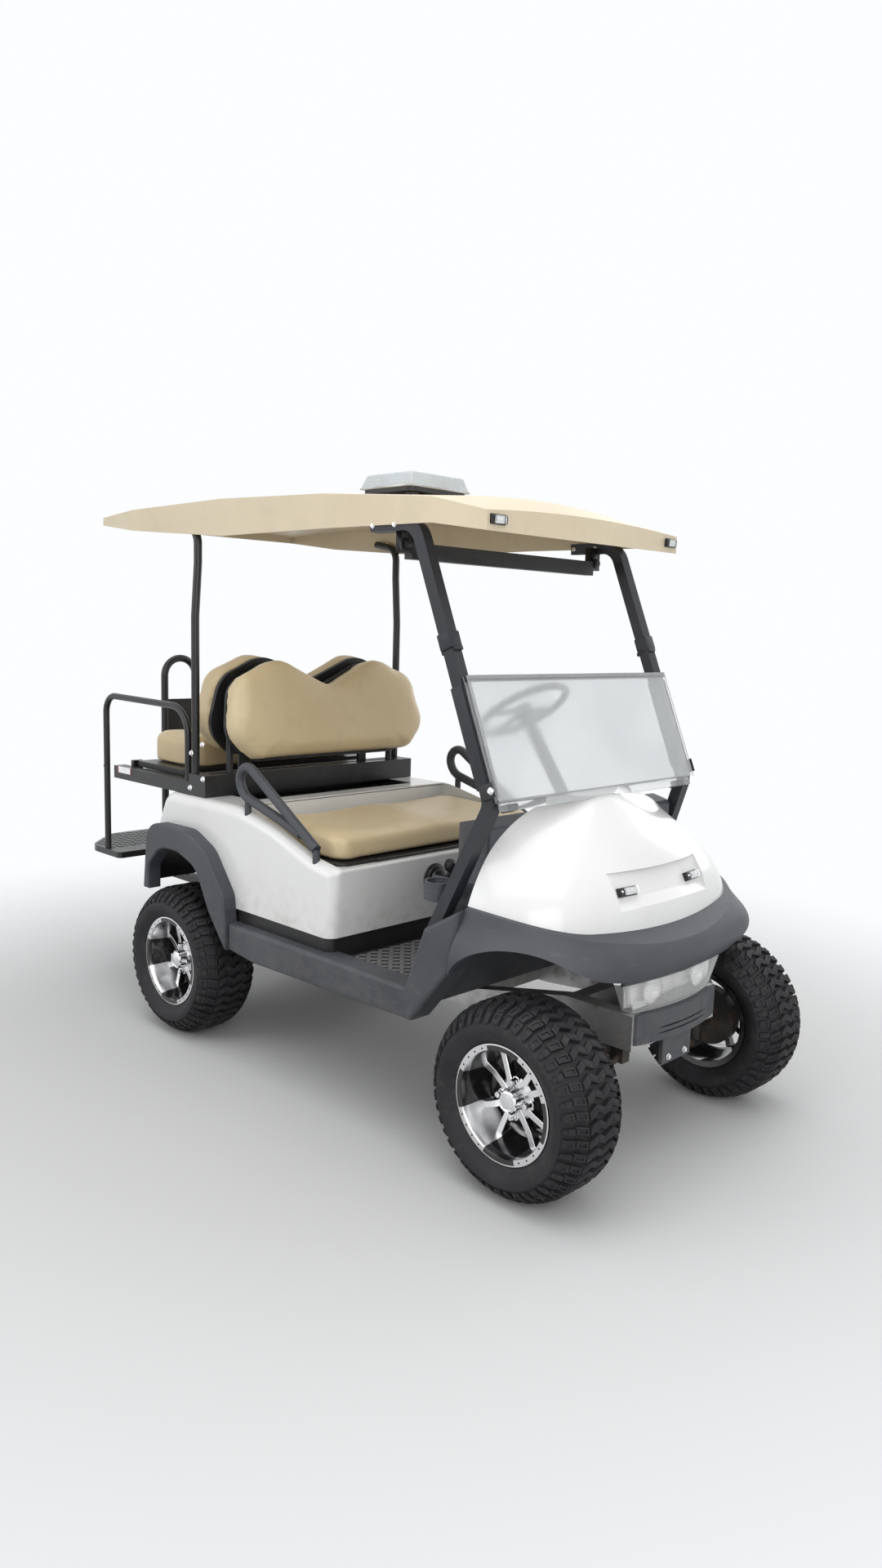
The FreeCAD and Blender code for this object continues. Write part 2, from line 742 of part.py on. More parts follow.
def make_battery_pack():
    node("battery_pack", box((aft(450), floor_rear - 5), (-330, 330), (S.rail_top + gap, 690)))


# Floor, mat, sills and flares
floor_front = fore(-330)
floor_rear = aft(850)


def make_floor():
    bottom = S.floor_top - 15
    toe = [
        (floor_rear, bottom), (floor_front, bottom), (toe_front, 610), (toe_front, toe_top),
        (toe_front - 12, toe_top), (toe_front - 12, 616), (floor_front - 7, S.floor_top),
        (floor_rear, S.floor_top),
    ]
    pan = padded("XZ_Plane", toe, -S.floor_half_width, S.floor_half_width)
    ribs = []
    for _, side in SIDES:
        low, high = span(side, S.rail_inner_y, rail_outer_y)
        ribs.append(box((floor_rear, fore(-440)), (low, high), (S.rail_top + gap, bottom + 1)))
    node("floor_pan", cut(fuse([pan] + ribs), [column_hole()]))
    mat_half = S.floor_half_width - 25
    node("floor_mat", box((aft(876), floor_front - 14), (-mat_half, mat_half),
                          (S.floor_top + gap, S.floor_top + gap + 4)))


def strut_path():
    """Front strut from its foot in the sill riser to its bolted end under the roof."""
    return [(-330, 545, 660), (-171, strut_top_y, 1060), (-492, strut_top_y, strut_top_z),
            (-680, strut_top_y, strut_top_z)]


def seam_station(height):
    """Station of the slanted seam between a sill riser and the front fascia."""
    return fore(-226 + (num(height) - 585) * 35 / 190)


def front_strut(side, size):
    points = [(fore(x), side * y, z) for x, y, z in strut_path()]
    return bent_square(points, size, [60, 70])


def strut_room():
    """The space that both front struts take up, with its clearance."""
    return [solid(front_strut(side, S.strut_size + 2 * gap)) for _, side in SIDES]


def make_sills():
    outline = [
        (aft(364), 403), (aft(506), 387), (fore(-378), 403), (seam_station(585) - gap, 585),
        (seam_station(772) - gap, 772), (fore(-331), 692), (fore(-405), sill_top),
        (aft(364), sill_top),
    ]
    sills = []
    for _, side in SIDES:
        low, high = span(side, S.floor_half_width + gap, S.sill_outer_y)
        sill = padded("XZ_Plane", outline, low, high)
        rounded(sill, 14, on_plane("y", S.sill_outer_y * side))
        sills.append(cut(sill, strut_room()))
    node("sills", group(sills))


def make_flares():
    front = aft(364) - gap
    outline = [
        (front, 403, 0), (front, sill_top, 0), (aft(352), 595, 60),
        (aft(235), 738, 120), (aft(110), 792, 150), (aft(-150), 789, 80), (aft(-178), 530, 0),
        (aft(-142), 530, 0), (aft(-142), 620, 60), (aft(-60), 703, 110), (aft(60), 705, 150),
        (aft(180), 665, 110), (aft(262), 521, 60),
    ]
    flares = []
    for _, side in SIDES:
        low, high = span(side, S.body_half_width + gap, flare_outer_y)
        shape = rounded_slab(outline, "xz", low, high)
        flares.append(solid(soften(shape, 9, on_plane("y", flare_outer_y * side))))
    node("rear_flares", group(flares))


# Rear body: a hollow moulding over the battery bay and the rear axle
body_front = aft(892)
body_rear = aft(-181)
body_bottom = 545
shoulder_radius = 38
slope_top = (aft(-110), S.body_top)
slope_foot = (aft(-167), 790)
well_rear = aft(330)
tray_x = (aft(20), aft(258))
tray_half = 400


def body_block(inset):
    """The body's block, drawn in by the panel thickness where it is the inside."""
    inset = num(inset)
    floor = body_bottom - 25 if inset else body_bottom
    top = S.body_top - inset
    outline = [
        (aft(871) - inset, floor, 0), (body_front - inset, S.seat_ledge - inset, 12),
        (aft(766), 792 - inset, 150), (aft(560), 864 - inset, 400), (aft(356), top, 300),
        (slope_top[0], top, 70 - inset), (slope_foot[0] + inset, slope_foot[1], 60),
        (body_rear + inset, floor, 0),
    ]
    half = num(S.body_half_width) - inset
    block = rounded_slab(outline, "xz", -half, half)

    def shoulder(edge):
        on_side = on_plane("y", half)(edge) or on_plane("y", -half)(edge)
        return on_side and edge.BoundBox.ZMax > body_bottom + 20
    return solid(soften(block, shoulder_radius - inset, shoulder))


def make_liners():
    """Black inner arches over the rear wheels."""
    radius = S.arch_radius - gap
    liners = []
    for _, side in SIDES:
        low, high = span(side, 338, S.body_half_width - 1)
        outer = bar("y", aft(20), low, S.arch_centre_z, high - low, radius)
        low, high = span(side, 342, S.body_half_width + 10)
        hollow = bar("y", aft(20), low, S.arch_centre_z, high - low, radius - 4)
        under = box((aft(-250), aft(290)), (-700, 700), (200, S.arch_centre_z + 50))
        liners.append(cut(outer, [hollow, under]))
    node("wheel_liners", group(liners))


def make_rear_body():
    shell = cut(body_block(0), [body_block(S.body_wall)])
    half = S.body_half_width
    tools = []
    for _, side in SIDES:
        low, high = span(side, 330, half + 20)
        tools.append(bar("y", aft(20), low, S.arch_centre_z, high - low, S.arch_radius))
        tools.append(box((aft(-160), aft(235)), (low, high), (480, S.arch_centre_z + 60)))
    well = S.seat_half_width + 10
    tools.append(box((well_rear, aft(900)), (-well, well), (S.seat_ledge, S.body_top + 60)))
    tray_low, tray_high = tray_x
    tools.append(box((tray_low, tray_high), (-tray_half, tray_half), (S.body_top - 40, S.body_top + 60)))
    opened = cut(shell, tools)
    ledge_half = well + 5
    ledge = box((well_rear - 2, body_front - 8), (-ledge_half, ledge_half), (S.seat_ledge - 8, S.seat_ledge))
    hole = box((well_rear + 42, body_front - 46), (-well + 50, well - 50),
               (S.seat_ledge - 20, S.seat_ledge + 20))
    rear_wall = box((well_rear - S.body_wall, well_rear), (-ledge_half, ledge_half),
                    (S.seat_ledge - 8, S.body_top - 8))
    walls = []
    for _, side in SIDES:
        low, high = span(side, well, ledge_half)
        wall = doc.addObject("Part::MultiCommon", unique("SeatWall"))
        wall.Shapes = [body_block(0), box((well_rear - S.body_wall, body_front), (low, high),
                                          (S.seat_ledge - 8, S.body_top + 60))]
        walls.append(wall)
    node("rear_body", cut(fuse([opened, ledge, rear_wall] + walls), [hole]))
    tray_top = S.body_top - 2
    tray = box((tray_low + gap, tray_high - gap), (-tray_half + gap, tray_half - gap),
               (tray_top - 34, tray_top))
    hollow = box((tray_low + 6, tray_high - 6), (-tray_half + 6, tray_half - 6),
                 (tray_top - 28, tray_top + 20))
    node("bag_tray", cut(tray, [hollow]))


def kick_form(inset, z):
    """The skirt's outline with its rounded front corners, drawn in by some thickness."""
    outer_y = num(S.body_half_width - S.body_wall - gap) - inset
    front = aft(865.4) - inset
    corner = shoulder_radius - 4 - inset
    rear = aft(366) - inset
    return rounded_slab([(rear, -outer_y, 0), (front, -outer_y, corner), (front, outer_y, corner),
                         (rear, outer_y, 0)], "xy", z[0], z[1])


def make_kick_panel():
    """Black skirt under the white body, standing on the floor and the sills."""
    thick = 6
    upper = (sill_top + gap, body_bottom + 15)
    skirt = kick_form(0, upper).cut(kick_form(thick, (400, 700)))
    front = aft(865.4)
    foot = box((front - thick, front), (-S.floor_half_width, S.floor_half_width),
               (S.floor_top + gap, sill_top + 10))
    node("kick_panel", fuse([solid(skirt), foot]))


# Front cowl and fascia: plan sections set out from the front axle
cowl_rear = fore(-200)
recess_top = 868
recess_foot = 760
recess_top_half = 228
recess_foot_half = 221
lamp_height = (recess_top + recess_foot) / 2 - 2
recess_depth = 20.75
foot_step = 9.43
fascia_bottom = 575
lens_bottom = 478
arch_start = 280
arch_reach = 340
arch_inner_radius = 235
arch_outer_radius = 272

COWL_SECTIONS = [
    # height, rear station, rear half width, corner station, corner half width, nose station
    (690, -232, 554, 86, 330, 122),
    (770, -222, 542, 74, 322, 112),
    (850, -214, 508, 34, 300, 80),
    (920, -210, 462, -26, 262, 26),
    (980, -208, 392, -88, 205, -36),
    (1025, -206, 305, -136, 140, -92),
    (1052, -204, 212, -168, 90, -142),
]


def plan_wire(rear, rear_half, corner, corner_half, nose, height):
    """A plan section: straight at the rear, an arc at the nose and tangent arcs at the sides."""
    rise = nose - corner
    nose_radius = (corner_half ** 2 + rise ** 2) / (2 * rise)
    turn = math.asin(corner_half / nose_radius)
    tangent = Vector(-math.sin(turn), math.cos(turn), 0)
    start = Vector(corner, corner_half, 0)
    chord = Vector(rear, rear_half, 0) - start
    lean = tangent.getAngle(chord)
    along = chord.normalize() * 1
    chord = Vector(rear, rear_half, 0) - start
    outward = (tangent - along * tangent.dot(along)).normalize()
    middle = start + chord * 0.5 + outward * (chord.Length / 2 * math.tan(lean / 2))
    return outline_wire([
        (fore(rear), -rear_half), (fore(rear), rear_half), (fore(middle.x), middle.y, "arc"),
        (fore(corner), corner_half), (fore(nose), 0, "arc"), (fore(corner), -corner_half),
        (fore(middle.x), -middle.y, "arc")], "xy", height)


def seam_block(limit, shift):
    """All that lies between the curved seam of cowl and fascia and a far height."""
    return slab([(fore(-300), 774 + shift), (fore(-20), 752 + shift, "arc"), (fore(260), 629 + shift),
                 (fore(260), 752 + limit), (fore(-300), 752 + limit)], "xz", -700, 700)


def biggest(shape):
    return max(shape.Solids, key=lambda piece: piece.Volume)


def cowl_section(row, inset):
    height, rear, rear_half, corner, corner_half, nose = row
    return plan_wire(rear, rear_half - inset, corner - inset * 0.7, corner_half - inset * 0.7,
                     nose - inset, height - inset * 0.6)


def hood_nose(height):
    """Station of the hood's nose at a height, from its sections."""
    for low, high in zip(COWL_SECTIONS, COWL_SECTIONS[1:]):
        if height <= high[0]:
            break
    return low[5] + (high[5] - low[5]) * (height - low[0]) / (high[0] - low[0])


# Slanting faces of the recess: height, nose station there, lean, and drop at the corners
floor_height = COWL_SECTIONS[2][0]
floor_face = (floor_height, hood_nose(floor_height) - recess_depth, 0.475, 24)
foot_face = (recess_foot, hood_nose(recess_foot) + foot_step, 1.036, 34)
recess_base = recess_foot - 120


def recess_block(grow):
    """A hood recess between its upright sides, larger all round by some growth."""
    top = recess_top + grow
    sides = [(-recess_top_half - grow, top), (recess_top_half + grow, top),
             (recess_foot_half + grow, recess_base), (-recess_foot_half - grow, recess_base)]
    return slab(sides, "yz", fore(-60), fore(220))


def behind_face(face, inset):
    """All that lies behind one slanting face of the recess."""
    height, station, lean, drop = face
    rise = 320
    nose = station + lean * (height - recess_base) - inset
    wire = plan_wire(-210, 480, nose - drop, 288, nose, recess_base)
    return Part.Face(wire).extrude(Vector(-lean * rise, 0, rise))


def make_front_cowl():
    wall = num(S.cowl_wall)
    outer = lofted([cowl_section(row, 0) for row in COWL_SECTIONS])
    inner = lofted([cowl_section(row, wall) for row in COWL_SECTIONS])
    lining = outer.common(recess_block(wall))
    hollow = recess_block(0)
    for face in (floor_face, foot_face):
        lining = lining.cut(behind_face(face, wall * 1.4))
        hollow = hollow.cut(behind_face(face, 0))
    shell = outer.cut(inner).fuse(lining).cut(hollow)
    below = seam_block(-400, num(gap))
    behind = Part.makeBox(200, 1400, 600, Vector(num(cowl_rear) - 200, -700, 600))
    shell = shell.cut(below).cut(behind)
    node("front_cowl", solid(biggest(shell)))


fascia_wall = 14
FASCIA_SECTIONS = [
    # height, rear station, rear half width, corner station, corner half width, nose station
    (fascia_bottom, -250, 576, 138, 345, 176),
    (612, -250, 585, 160, 360, 197),
    (650, -248, 584, 160, 358, 197),
    (695, -246, 574, 128, 345, 165),
    (730, -244, 564, 98, 335, 132),
    (790, -242, 557, 70, 325, 110),
]


def fascia_section(row, inset, lift=0):
    height, rear, rear_half, corner, corner_half, nose = row
    return plan_wire(rear, rear_half - inset, corner - inset, corner_half - inset * 0.7,
                     nose - inset, height + lift)


def front_arch(side):
    """The front wheel arch, which narrows towards the cart's middle."""
    return Part.makeCone(arch_inner_radius, arch_outer_radius, arch_reach,
                         Vector(num(fore(-5)), side * arch_start, 425), Vector(0, side, 0))


def make_front_fascia():
    outer = lofted([fascia_section(row, 0) for row in FASCIA_SECTIONS])
    lifts = [-10] + [0] * (len(FASCIA_SECTIONS) - 1)
    inner = lofted([fascia_section(row, fascia_wall, lift) for row, lift in zip(FASCIA_SECTIONS, lifts)])
    inner = inner.cut(seam_block(600, -fascia_wall))
    opening = plan_wire(-300, 500, 40, 285, 76, 650)
    shell = outer.cut(inner).cut(Part.Face(opening).extrude(Vector(0, 0, 200)))
    shell = shell.cut(seam_block(600, 0))
    behind = slab([(fore(-400), 540), (seam_station(540), 540), (seam_station(860), 860),
                   (fore(-400), 860)], "xz", -700, 700)
    shell = shell.cut(behind)
    for _, side in SIDES:
        shell = shell.cut(front_arch(side))
    node("front_fascia", solid(biggest(shell)))


def lens_section(half, front, back, height):
    return outline_wire([
        (fore(back), -half), (fore(back), half), (fore(front - 30), half - 4),
        (fore(front), 0, "arc"), (fore(front - 30), -half + 4)], "xy", height)


def make_headlight():
    lens = lofted([lens_section(206, 168, 102, lens_bottom),
                   lens_section(250, 178, 96, fascia_bottom - num(gap))], True)
    node("headlight_lens", solid(lens))


def make_lower_bumper():
    """Black bumper below the lens, with its bolt plate."""
    back = num(rail_front - front_axle) + num(gap)
    top = lens_bottom - num(gap)
    block = Part.Face(lens_section(212, 188, back, 388)).extrude(Vector(0, 0, top - 388))
    plate = Part.makeBox(12, 150, 93, Vector(num(fore(back)), -75, 296))
    shape = block.fuse(plate)
    for groove in (408, 424):
        shape = shape.cut(Part.makeBox(30, 500, 5, Vector(num(fore(176)), -250, groove)))
    node("lower_bumper", solid(shape))


def make_small_lamps():
    # Each hood lamp lies flat on the curved and leaning floor of the recess
    height, station, lean, drop = floor_face
    floor_radius = (288 ** 2 + drop ** 2) / (2 * drop)
    floor_station = station - lean * (lamp_height - height)
    clear = 1
    lamps = []
    for hand in (-1, 1):
        turn = math.degrees(math.asin(167 / floor_radius)) * hand
        lamp = Part.makeBox(16, 80, 26, Vector(clear, -40, -13))
        lamp.rotate(Vector(0, 0, 0), Vector(0, 1, 0), -math.degrees(math.atan(lean)))
        lamp.translate(Vector(floor_radius, 0, lamp_height))
        lamp.rotate(Vector(0, 0, 0), Vector(0, 0, 1), turn)
        lamp.translate(Vector(num(fore(floor_station)) - floor_radius, 0, 0))
        lamps.append(solid(lamp))
    roof_front = roof_station(ROOF_SECTIONS[0][0])
    lamps += [box((roof_front + gap, roof_front + 18), (y - 30, y + 30), (1830, 1856)) for y in (-427, 427)]
    node("marker_lamps", group(lamps))
    # The tail lamps lie on the slope at the body's rear corners
    foot = Vector(num(slope_foot[0]), 0, num(slope_foot[1]))
    down = (foot - Vector(num(slope_top[0]), 0, num(slope_top[1]))).normalize()
    outward = Vector(down.z, 0, -down.x)
    start = foot - down * 22
    corners = [start + outward * num(gap), start - down * 54 + outward * num(gap),
               start - down * 54 + outward * 12, start + outward * 12]
    tails = []
    for _, side in SIDES:
        low, high = span(side, 440, S.body_half_width - shoulder_radius - 2)
        face = Part.Face(Part.makePolygon([Vector(c.x, num(low), c.z) for c in corners + corners[:1]]))
        tails.append(solid(face.extrude(Vector(0, num(high - low), 0))))
    node("tail_lights", group(tails))


def make_dashboard():
    front = cowl_rear - gap
    cup_y = 455 + S.cup_radius + 3
    outline = [
        (front, 700), (front, 985), (fore(-262), 1002), (fore(-400), 968), (fore(-432), 920),
        (fore(-425), 800), (fore(-390), 700), (fore(-300), 694),
    ]
    panel = padded("XZ_Plane", outline, -455, 455)
    rounded(panel, 16, runs_along("y"))
    holders = []
    bores = []
    for _, side in SIDES:
        holders.append(bar("z", fore(-356), cup_y * side, 760, S.cup_depth + 10, S.cup_radius + 6))
        bores.append(bar("z", fore(-356), cup_y * side, 770, S.cup_depth + 20, S.cup_radius))
    pockets = [box((fore(-450), fore(-330)), span_of, (815, 905)) for span_of in ((-380, -120), (-70, 190))]
    node("dashboard", cut(fuse([panel] + holders), bores + pockets + [column_hole()]))


def make_front_struts():
    node("front_struts", group([solid(front_strut(side, S.strut_size)) for _, side in SIDES]))


def make_rear_struts():
    radius = S.rear_strut_radius
    foot_y = frame_outer_y - radius - 3
    top_y = roof_inner_y - radius - gap
    struts = []
    for _, side in SIDES:
        points = [(aft(34), side * foot_y, S.frame_top_z + stub_rise + gap), (aft(34), side * foot_y, 1560),
                  (aft(34), side * top_y, 1750), (aft(34), side * top_y, 1868),
                  (aft(-90), side * top_y, 1890)]
        struts.append(solid(bent_tube(points, radius, [300, 300, 60])))
    node("rear_struts", group(struts))


# Windscreen, folded down: a fixed lower sheet and the upper sheet hinged in front of it
screen_height = 368
fold_gap = 10


def screen_sheet(ahead):
    """A sheet parallel to the upper leg of the front struts, this far ahead of them."""
    points = [Vector(num(fore(x)), 0, num(z)) for x, y, z in strut_path()]
    slope = (points[2] - points[1]).normalize()
    normal = Vector(slope.z, 0, -slope.x)
    half = num(S.screen_half_width)
    face_offset = num(S.strut_size) / 2 + num(gap) + ahead
    start = points[1] + normal * face_offset
    top = start + slope * screen_height
    thickness = normal * num(S.screen_thickness)
    corners = [start, top, top + thickness, start + thickness]
    base = [Vector(c.x, -half, c.z) for c in corners]
    face = Part.Face(Part.makePolygon(base + [base[0]]))
    return face.extrude(Vector(0, 2 * half, 0)), slope, normal, top


def make_windscreen():
    half = num(S.screen_half_width)
    thickness = num(S.screen_thickness)
    lower, slope, normal, top = screen_sheet(0)
    node("windscreen_lower", cut(solid(lower), strut_room()))
    node("windscreen_upper", solid(screen_sheet(fold_gap + thickness)[0]))
    start = top + normal * (thickness + num(gap))
    depth = normal * (fold_gap - 2 * num(gap))
    corners = [start, start - slope * 16, start - slope * 16 + depth, start + depth]
    base = [Vector(c.x, -half, c.z) for c in corners]
    rail = Part.Face(Part.makePolygon(base + [base[0]])).extrude(Vector(0, 2 * half, 0))
    node("windscreen_hinge", solid(rail))


# Roof: cross sections set out from the axles, joined by one smooth loft
ROOF_SECTIONS = [
    # station from the front axle, lower edge, edge height, crown, half width
    (-241, 1811, 1866, 1884, 470),
    (-420, 1836, 1908, 1942, 508),
    (-900, 1840, 1946, 1975, 508),
    (-1460, 1838, 1964, 1990, 508),
    (-2050, 1880, 1958, 1982, 508),
    (-2329, 1914, 1944, 1956, 480),
]


def roof_station(distance):
    """Roof stations behind the front struts stretch with the wheelbase."""
    stretch = S.wheelbase / 1664
    return fore(distance * stretch)


def roof_section(row, inset, drop, shift=0.0):
    station, low, edge, crown, half = row
    half = half * num(S.roof_half_width) / 508 - inset
    return outline_wire([
        (-half, low - drop), (half, low - drop), (half, edge - inset),
        (0, crown - inset, "arc"), (-half, edge - inset)], "yz", roof_station(station) + shift)


def make_roof():
    wall = num(S.roof_wall)
    outer = lofted([roof_section(row, 0, 0) for row in ROOF_SECTIONS], True)
    shifts = [-wall, 0, 0, 0, 0, wall]
    inner = lofted([roof_section(row, wall, 40, shift) for row, shift in zip(ROOF_SECTIONS, shifts)], True)
    node("roof", solid(outer.cut(inner)))
    return outer


def make_light_bar(roof_form):
    x_mid = num(roof_station(-1016))
    crown = 1980
    base = rounded_slab([(x_mid - 125, -140, 30), (x_mid + 125, -140, 30), (x_mid + 125, 140, 30),
                         (x_mid - 125, 140, 30)], "xy", crown + 16, crown + 30)
    feet = [Part.makeCylinder(24, 40, Vector(x_mid + 85 * i, 95 * j, crown - 20))
            for i in (-1, 1) for j in (-1, 1)]
    for foot in feet:
        base = base.fuse(foot)
    seat = roof_form.copy()
    seat.translate(Vector(0, 0, num(gap)))
    node("light_bar_base", solid(base.cut(seat)))
    lens_top = crown + 82
    lens = rounded_slab([(x_mid - 128, -145, 34), (x_mid + 128, -145, 34), (x_mid + 128, 145, 34),
                         (x_mid - 128, 145, 34)], "xy", crown + 30 + num(gap), lens_top)
    node("light_bar_lens", solid(soften(lens, 16, on_plane("z", lens_top))))


def make_mirror():
    strip = box((fore(-592), fore(-560)), (-444, 444), (1702, 1790))
    arms = [box((fore(-588), fore(-564)), span(side, 430, strut_top_y), (1760, strut_top_z))
            for _, side in SIDES]
    node("mirror", cut(fuse([strip] + arms), strut_room()))


# Steering column and wheel on a leaning axis
wheel_centre = (fore(-713), 270, 1259)
column_length = 905


def column_point(distance):
    """A point down the column from the steering wheel's centre."""
    tilt = math.radians(num(S.wheel_tilt))
    x, y, z = [num(c) for c in wheel_centre]
    return Vector(x + distance * math.sin(tilt), y, z - distance * math.cos(tilt))


def column_hole():
    """The hole that the column passes through, with its clearance."""
    start = column_point(380)
    end = column_point(column_length - 40)
    radius = num(S.column_radius + gap)
    return solid(Part.makeCylinder(radius, (end - start).Length, start, end - start))


def make_steering_column():
    top = column_point(70)
    foot = column_point(column_length)
    down = (foot - top).normalize()
    tube = Part.makeCylinder(num(S.column_radius), (foot - top).Length, top, down)
    bore = Part.makeCylinder(num(S.column_shaft_radius + gap), 190, top - down * 5, down)
    shape = tube.cut(bore).fuse(Part.makeSphere(24, foot))
    # Two jointed shafts pass over the frame rail and down to the pinion
    middle = Vector(num(fore(-198)), num(S.rail_inner_y) - 30, 484)
    end = Vector(num(pinion_x), pinion_y, num(pinion_top + gap))
    aim = (middle - foot).normalize()
    shape = shape.fuse(Part.makeCylinder(11, (middle - foot).Length, foot, aim))
    shape = shape.fuse(Part.makeSphere(17, middle))
    last = middle + (end - middle) * 0.86
    shape = shape.fuse(Part.makeCylinder(11, (last - middle).Length, middle, last - middle))
    shape = shape.fuse(Part.makeCylinder(13, last.z - end.z + 6, Vector(end.x, end.y, end.z)))
    node("steering_column", solid(shape))


def make_steering_wheel():
    ring = doc.addObject("Part::Torus", unique("Ring"))
    bind(ring, "Radius1", S.steering_wheel_radius)
    ring.Radius2 = 13
    hub = bar("z", 0, 0, -52, 66, 34)
    shaft = bar("z", 0, 0, -230, 190, S.column_shaft_radius)
    spokes = []
    for angle in (90, 180, 270):
        spoke = box((0, S.steering_wheel_radius - 4), (-13, 13), (-9, 1))
        doc.recompute()
        shape = spoke.Shape.copy()
        shape.rotate(Vector(0, 0, 0), Vector(0, 0, 1), angle)
        spokes.append(solid(shape))
    wheel = fuse([ring, hub, shaft] + spokes)
    place(wheel, *wheel_centre, Rotation(Vector(0, 1, 0), -num(S.wheel_tilt)))
    node("steering_wheel", wheel)


def make_pedals():
    pads = []
    stem_x = toe_front - 12 - 6 - gap
    for y, width in ((330, 62), (200, 88)):
        stem = bent_tube([(stem_x, y, 682), (stem_x, y, 632), (stem_x - 58, y, 560)], 6, 14)
        pad = Part.makeBox(10, width, 90, Vector(num(stem_x) - 65, y - width / 2, 505))
        pads.append(solid(stem.fuse(pad)))
    node("pedals", group(pads))


# Seats
stub_rise = 30


def seat_pad(x, half, z, corner, edge):
    body = padded("XY_Plane", [(x[0], -half), (x[1], -half), (x[1], half), (x[0], half)], z[0], z[1])
    rounded(body, corner, runs_along("z"))
    rounded(body, edge, on_plane("z", z[1]))
    return body


def make_front_seat():
    board_top = S.seat_ledge + 10
    cushion = seat_pad((aft(358), aft(856)), S.seat_half_width - 4, (board_top + gap, 868), 60, 30)
    node("front_cushion", cushion)
    board = seat_pad((aft(352), aft(860)), S.seat_half_width, (S.seat_ledge + gap, board_top), 50, 2)
    # The barrel on the seat's hinge line
    barrel = bar("y", aft(863), -340, S.seat_ledge + 6, 680, 5)
    node("front_seat_board", fuse([board, barrel]))


def seatback_shape(scale, thickness):
    """Two rounded shoulders with a dip between them, standing on its lower edge."""
    w = num(S.seatback_width) / 2 * scale
    # Across, up and corner radius of one half, from the lower edge to the hump
    half = [(0.80 * w, 0, 70), (1.014 * w, 100 * scale, 110), (0.93 * w, 310 * scale, 110),
            (0.52 * w, 405 * scale, 140)]
    dip = [(0, 296 * scale, 90)]
    mirrored = [(-across, up, radius) for across, up, radius in reversed(half)]
    return rounded_slab(half + dip + mirrored, "yz", 0, thickness)


def make_seatback(name, x, z, lean, facing):
    """A cushion and the black shell behind it; facing is +1 forward or -1 to the rear."""
    cushion = soften(seatback_shape(1.0, S.seatback_thickness), 38, on_plane("x", S.seatback_thickness))
    shell = seatback_shape(0.94, S.shell_thickness)
    shell.translate(Vector(-num(S.shell_thickness + gap), 0, 10))
    for shape in (cushion, shell):
        if facing < 0:
            shape.rotate(Vector(0, 0, 0), Vector(0, 0, 1), 180)
        shape.rotate(Vector(0, 0, 0), Vector(0, 1, 0), -lean * facing)
        shape.translate(Vector(num(x), 0, num(z)))
    node(f"{name}_seatback", solid(cushion))
    return shell


def make_seatbacks():
    """Both seatbacks with their shells, each shell on uprights from the seat frame."""
    rise = S.frame_top_z + stub_rise + gap
    front_shell = make_seatback("front", aft(184), 1024, 12, 1)
    for _, side in SIDES:
        points = [(aft(106), side * 400, rise), (aft(106), side * 400, 1215), (aft(135), side * 400, 1215)]
        front_shell = front_shell.fuse(bent_tube(points, S.grab_bar_radius, [26]))
    rear_shell = make_seatback("rear", aft(26), 1040, 6, -1)
    for _, side in SIDES:
        upright = Part.makeBox(14, 40, 180, Vector(num(aft(40)), side * 300 - 20, num(rise)))
        rear_shell = rear_shell.fuse(upright)
    node("seatback_shells", group([solid(front_shell), solid(rear_shell)]))


# Rear seat frame, its flip deck and the bars and step around it
flip_hinge = aft(-S.flip_hinge_back)


def lifted_body():
    """The body's block raised by the seating gap, to trim the feet that stand on it."""
    return place(body_block(0), 0, 0, gap)


def make_seat_frame():
    top = S.frame_top_z
    bottom = S.body_top + gap
    inner_y = frame_outer_y - S.frame_rail_width
    pieces = []
    for _, side in SIDES:
        low, high = span(side, inner_y, frame_outer_y)
        pieces.append(box((aft(-536), aft(124)), (low, high), (bottom, top)))
        pieces.append(box((aft(16), aft(124)), (low, high), (top - 1, top + stub_rise)))
        low, high = span(side, S.rail_inner_y + 5, rail_outer_y - 5)
        pieces.append(box((aft(-240), aft(-205)), (low, high), (rear_rail_top + gap, bottom + 20)))
    pieces.append(box((aft(84), aft(124)), (-frame_outer_y, frame_outer_y), (bottom, top + stub_rise)))
    pieces.append(box((aft(28), aft(64)), (-inner_y, inner_y), (bottom, top + stub_rise)))
    pieces.append(box((flip_hinge - 10, flip_hinge + 44), (-inner_y, inner_y), (bottom, bottom + 34)))
    pieces.append(box((aft(-250), aft(-200)), (-inner_y, inner_y), (bottom, bottom + 34)))
    pieces.append(box((flip_hinge + 10, aft(64)), (-inner_y, inner_y), (bottom + 30, bottom + 35)))
    # Lugs that hold the hinge barrel of the flip seat
    lugs = []
    for _, side in SIDES:
        low, high = span(side, S.deck_half_width - 30, inner_y + 4)
        lugs.append(box((flip_hinge - 10, flip_hinge + 10), (low, high), (bottom, S.flip_hinge_z + 12)))
    barrel_hole = bar("y", flip_hinge, -S.deck_half_width, S.flip_hinge_z, 2 * S.deck_half_width,
                      S.hinge_radius + gap)
    node("seat_frame", fuse([cut(fuse(lugs), [barrel_hole])] + pieces))


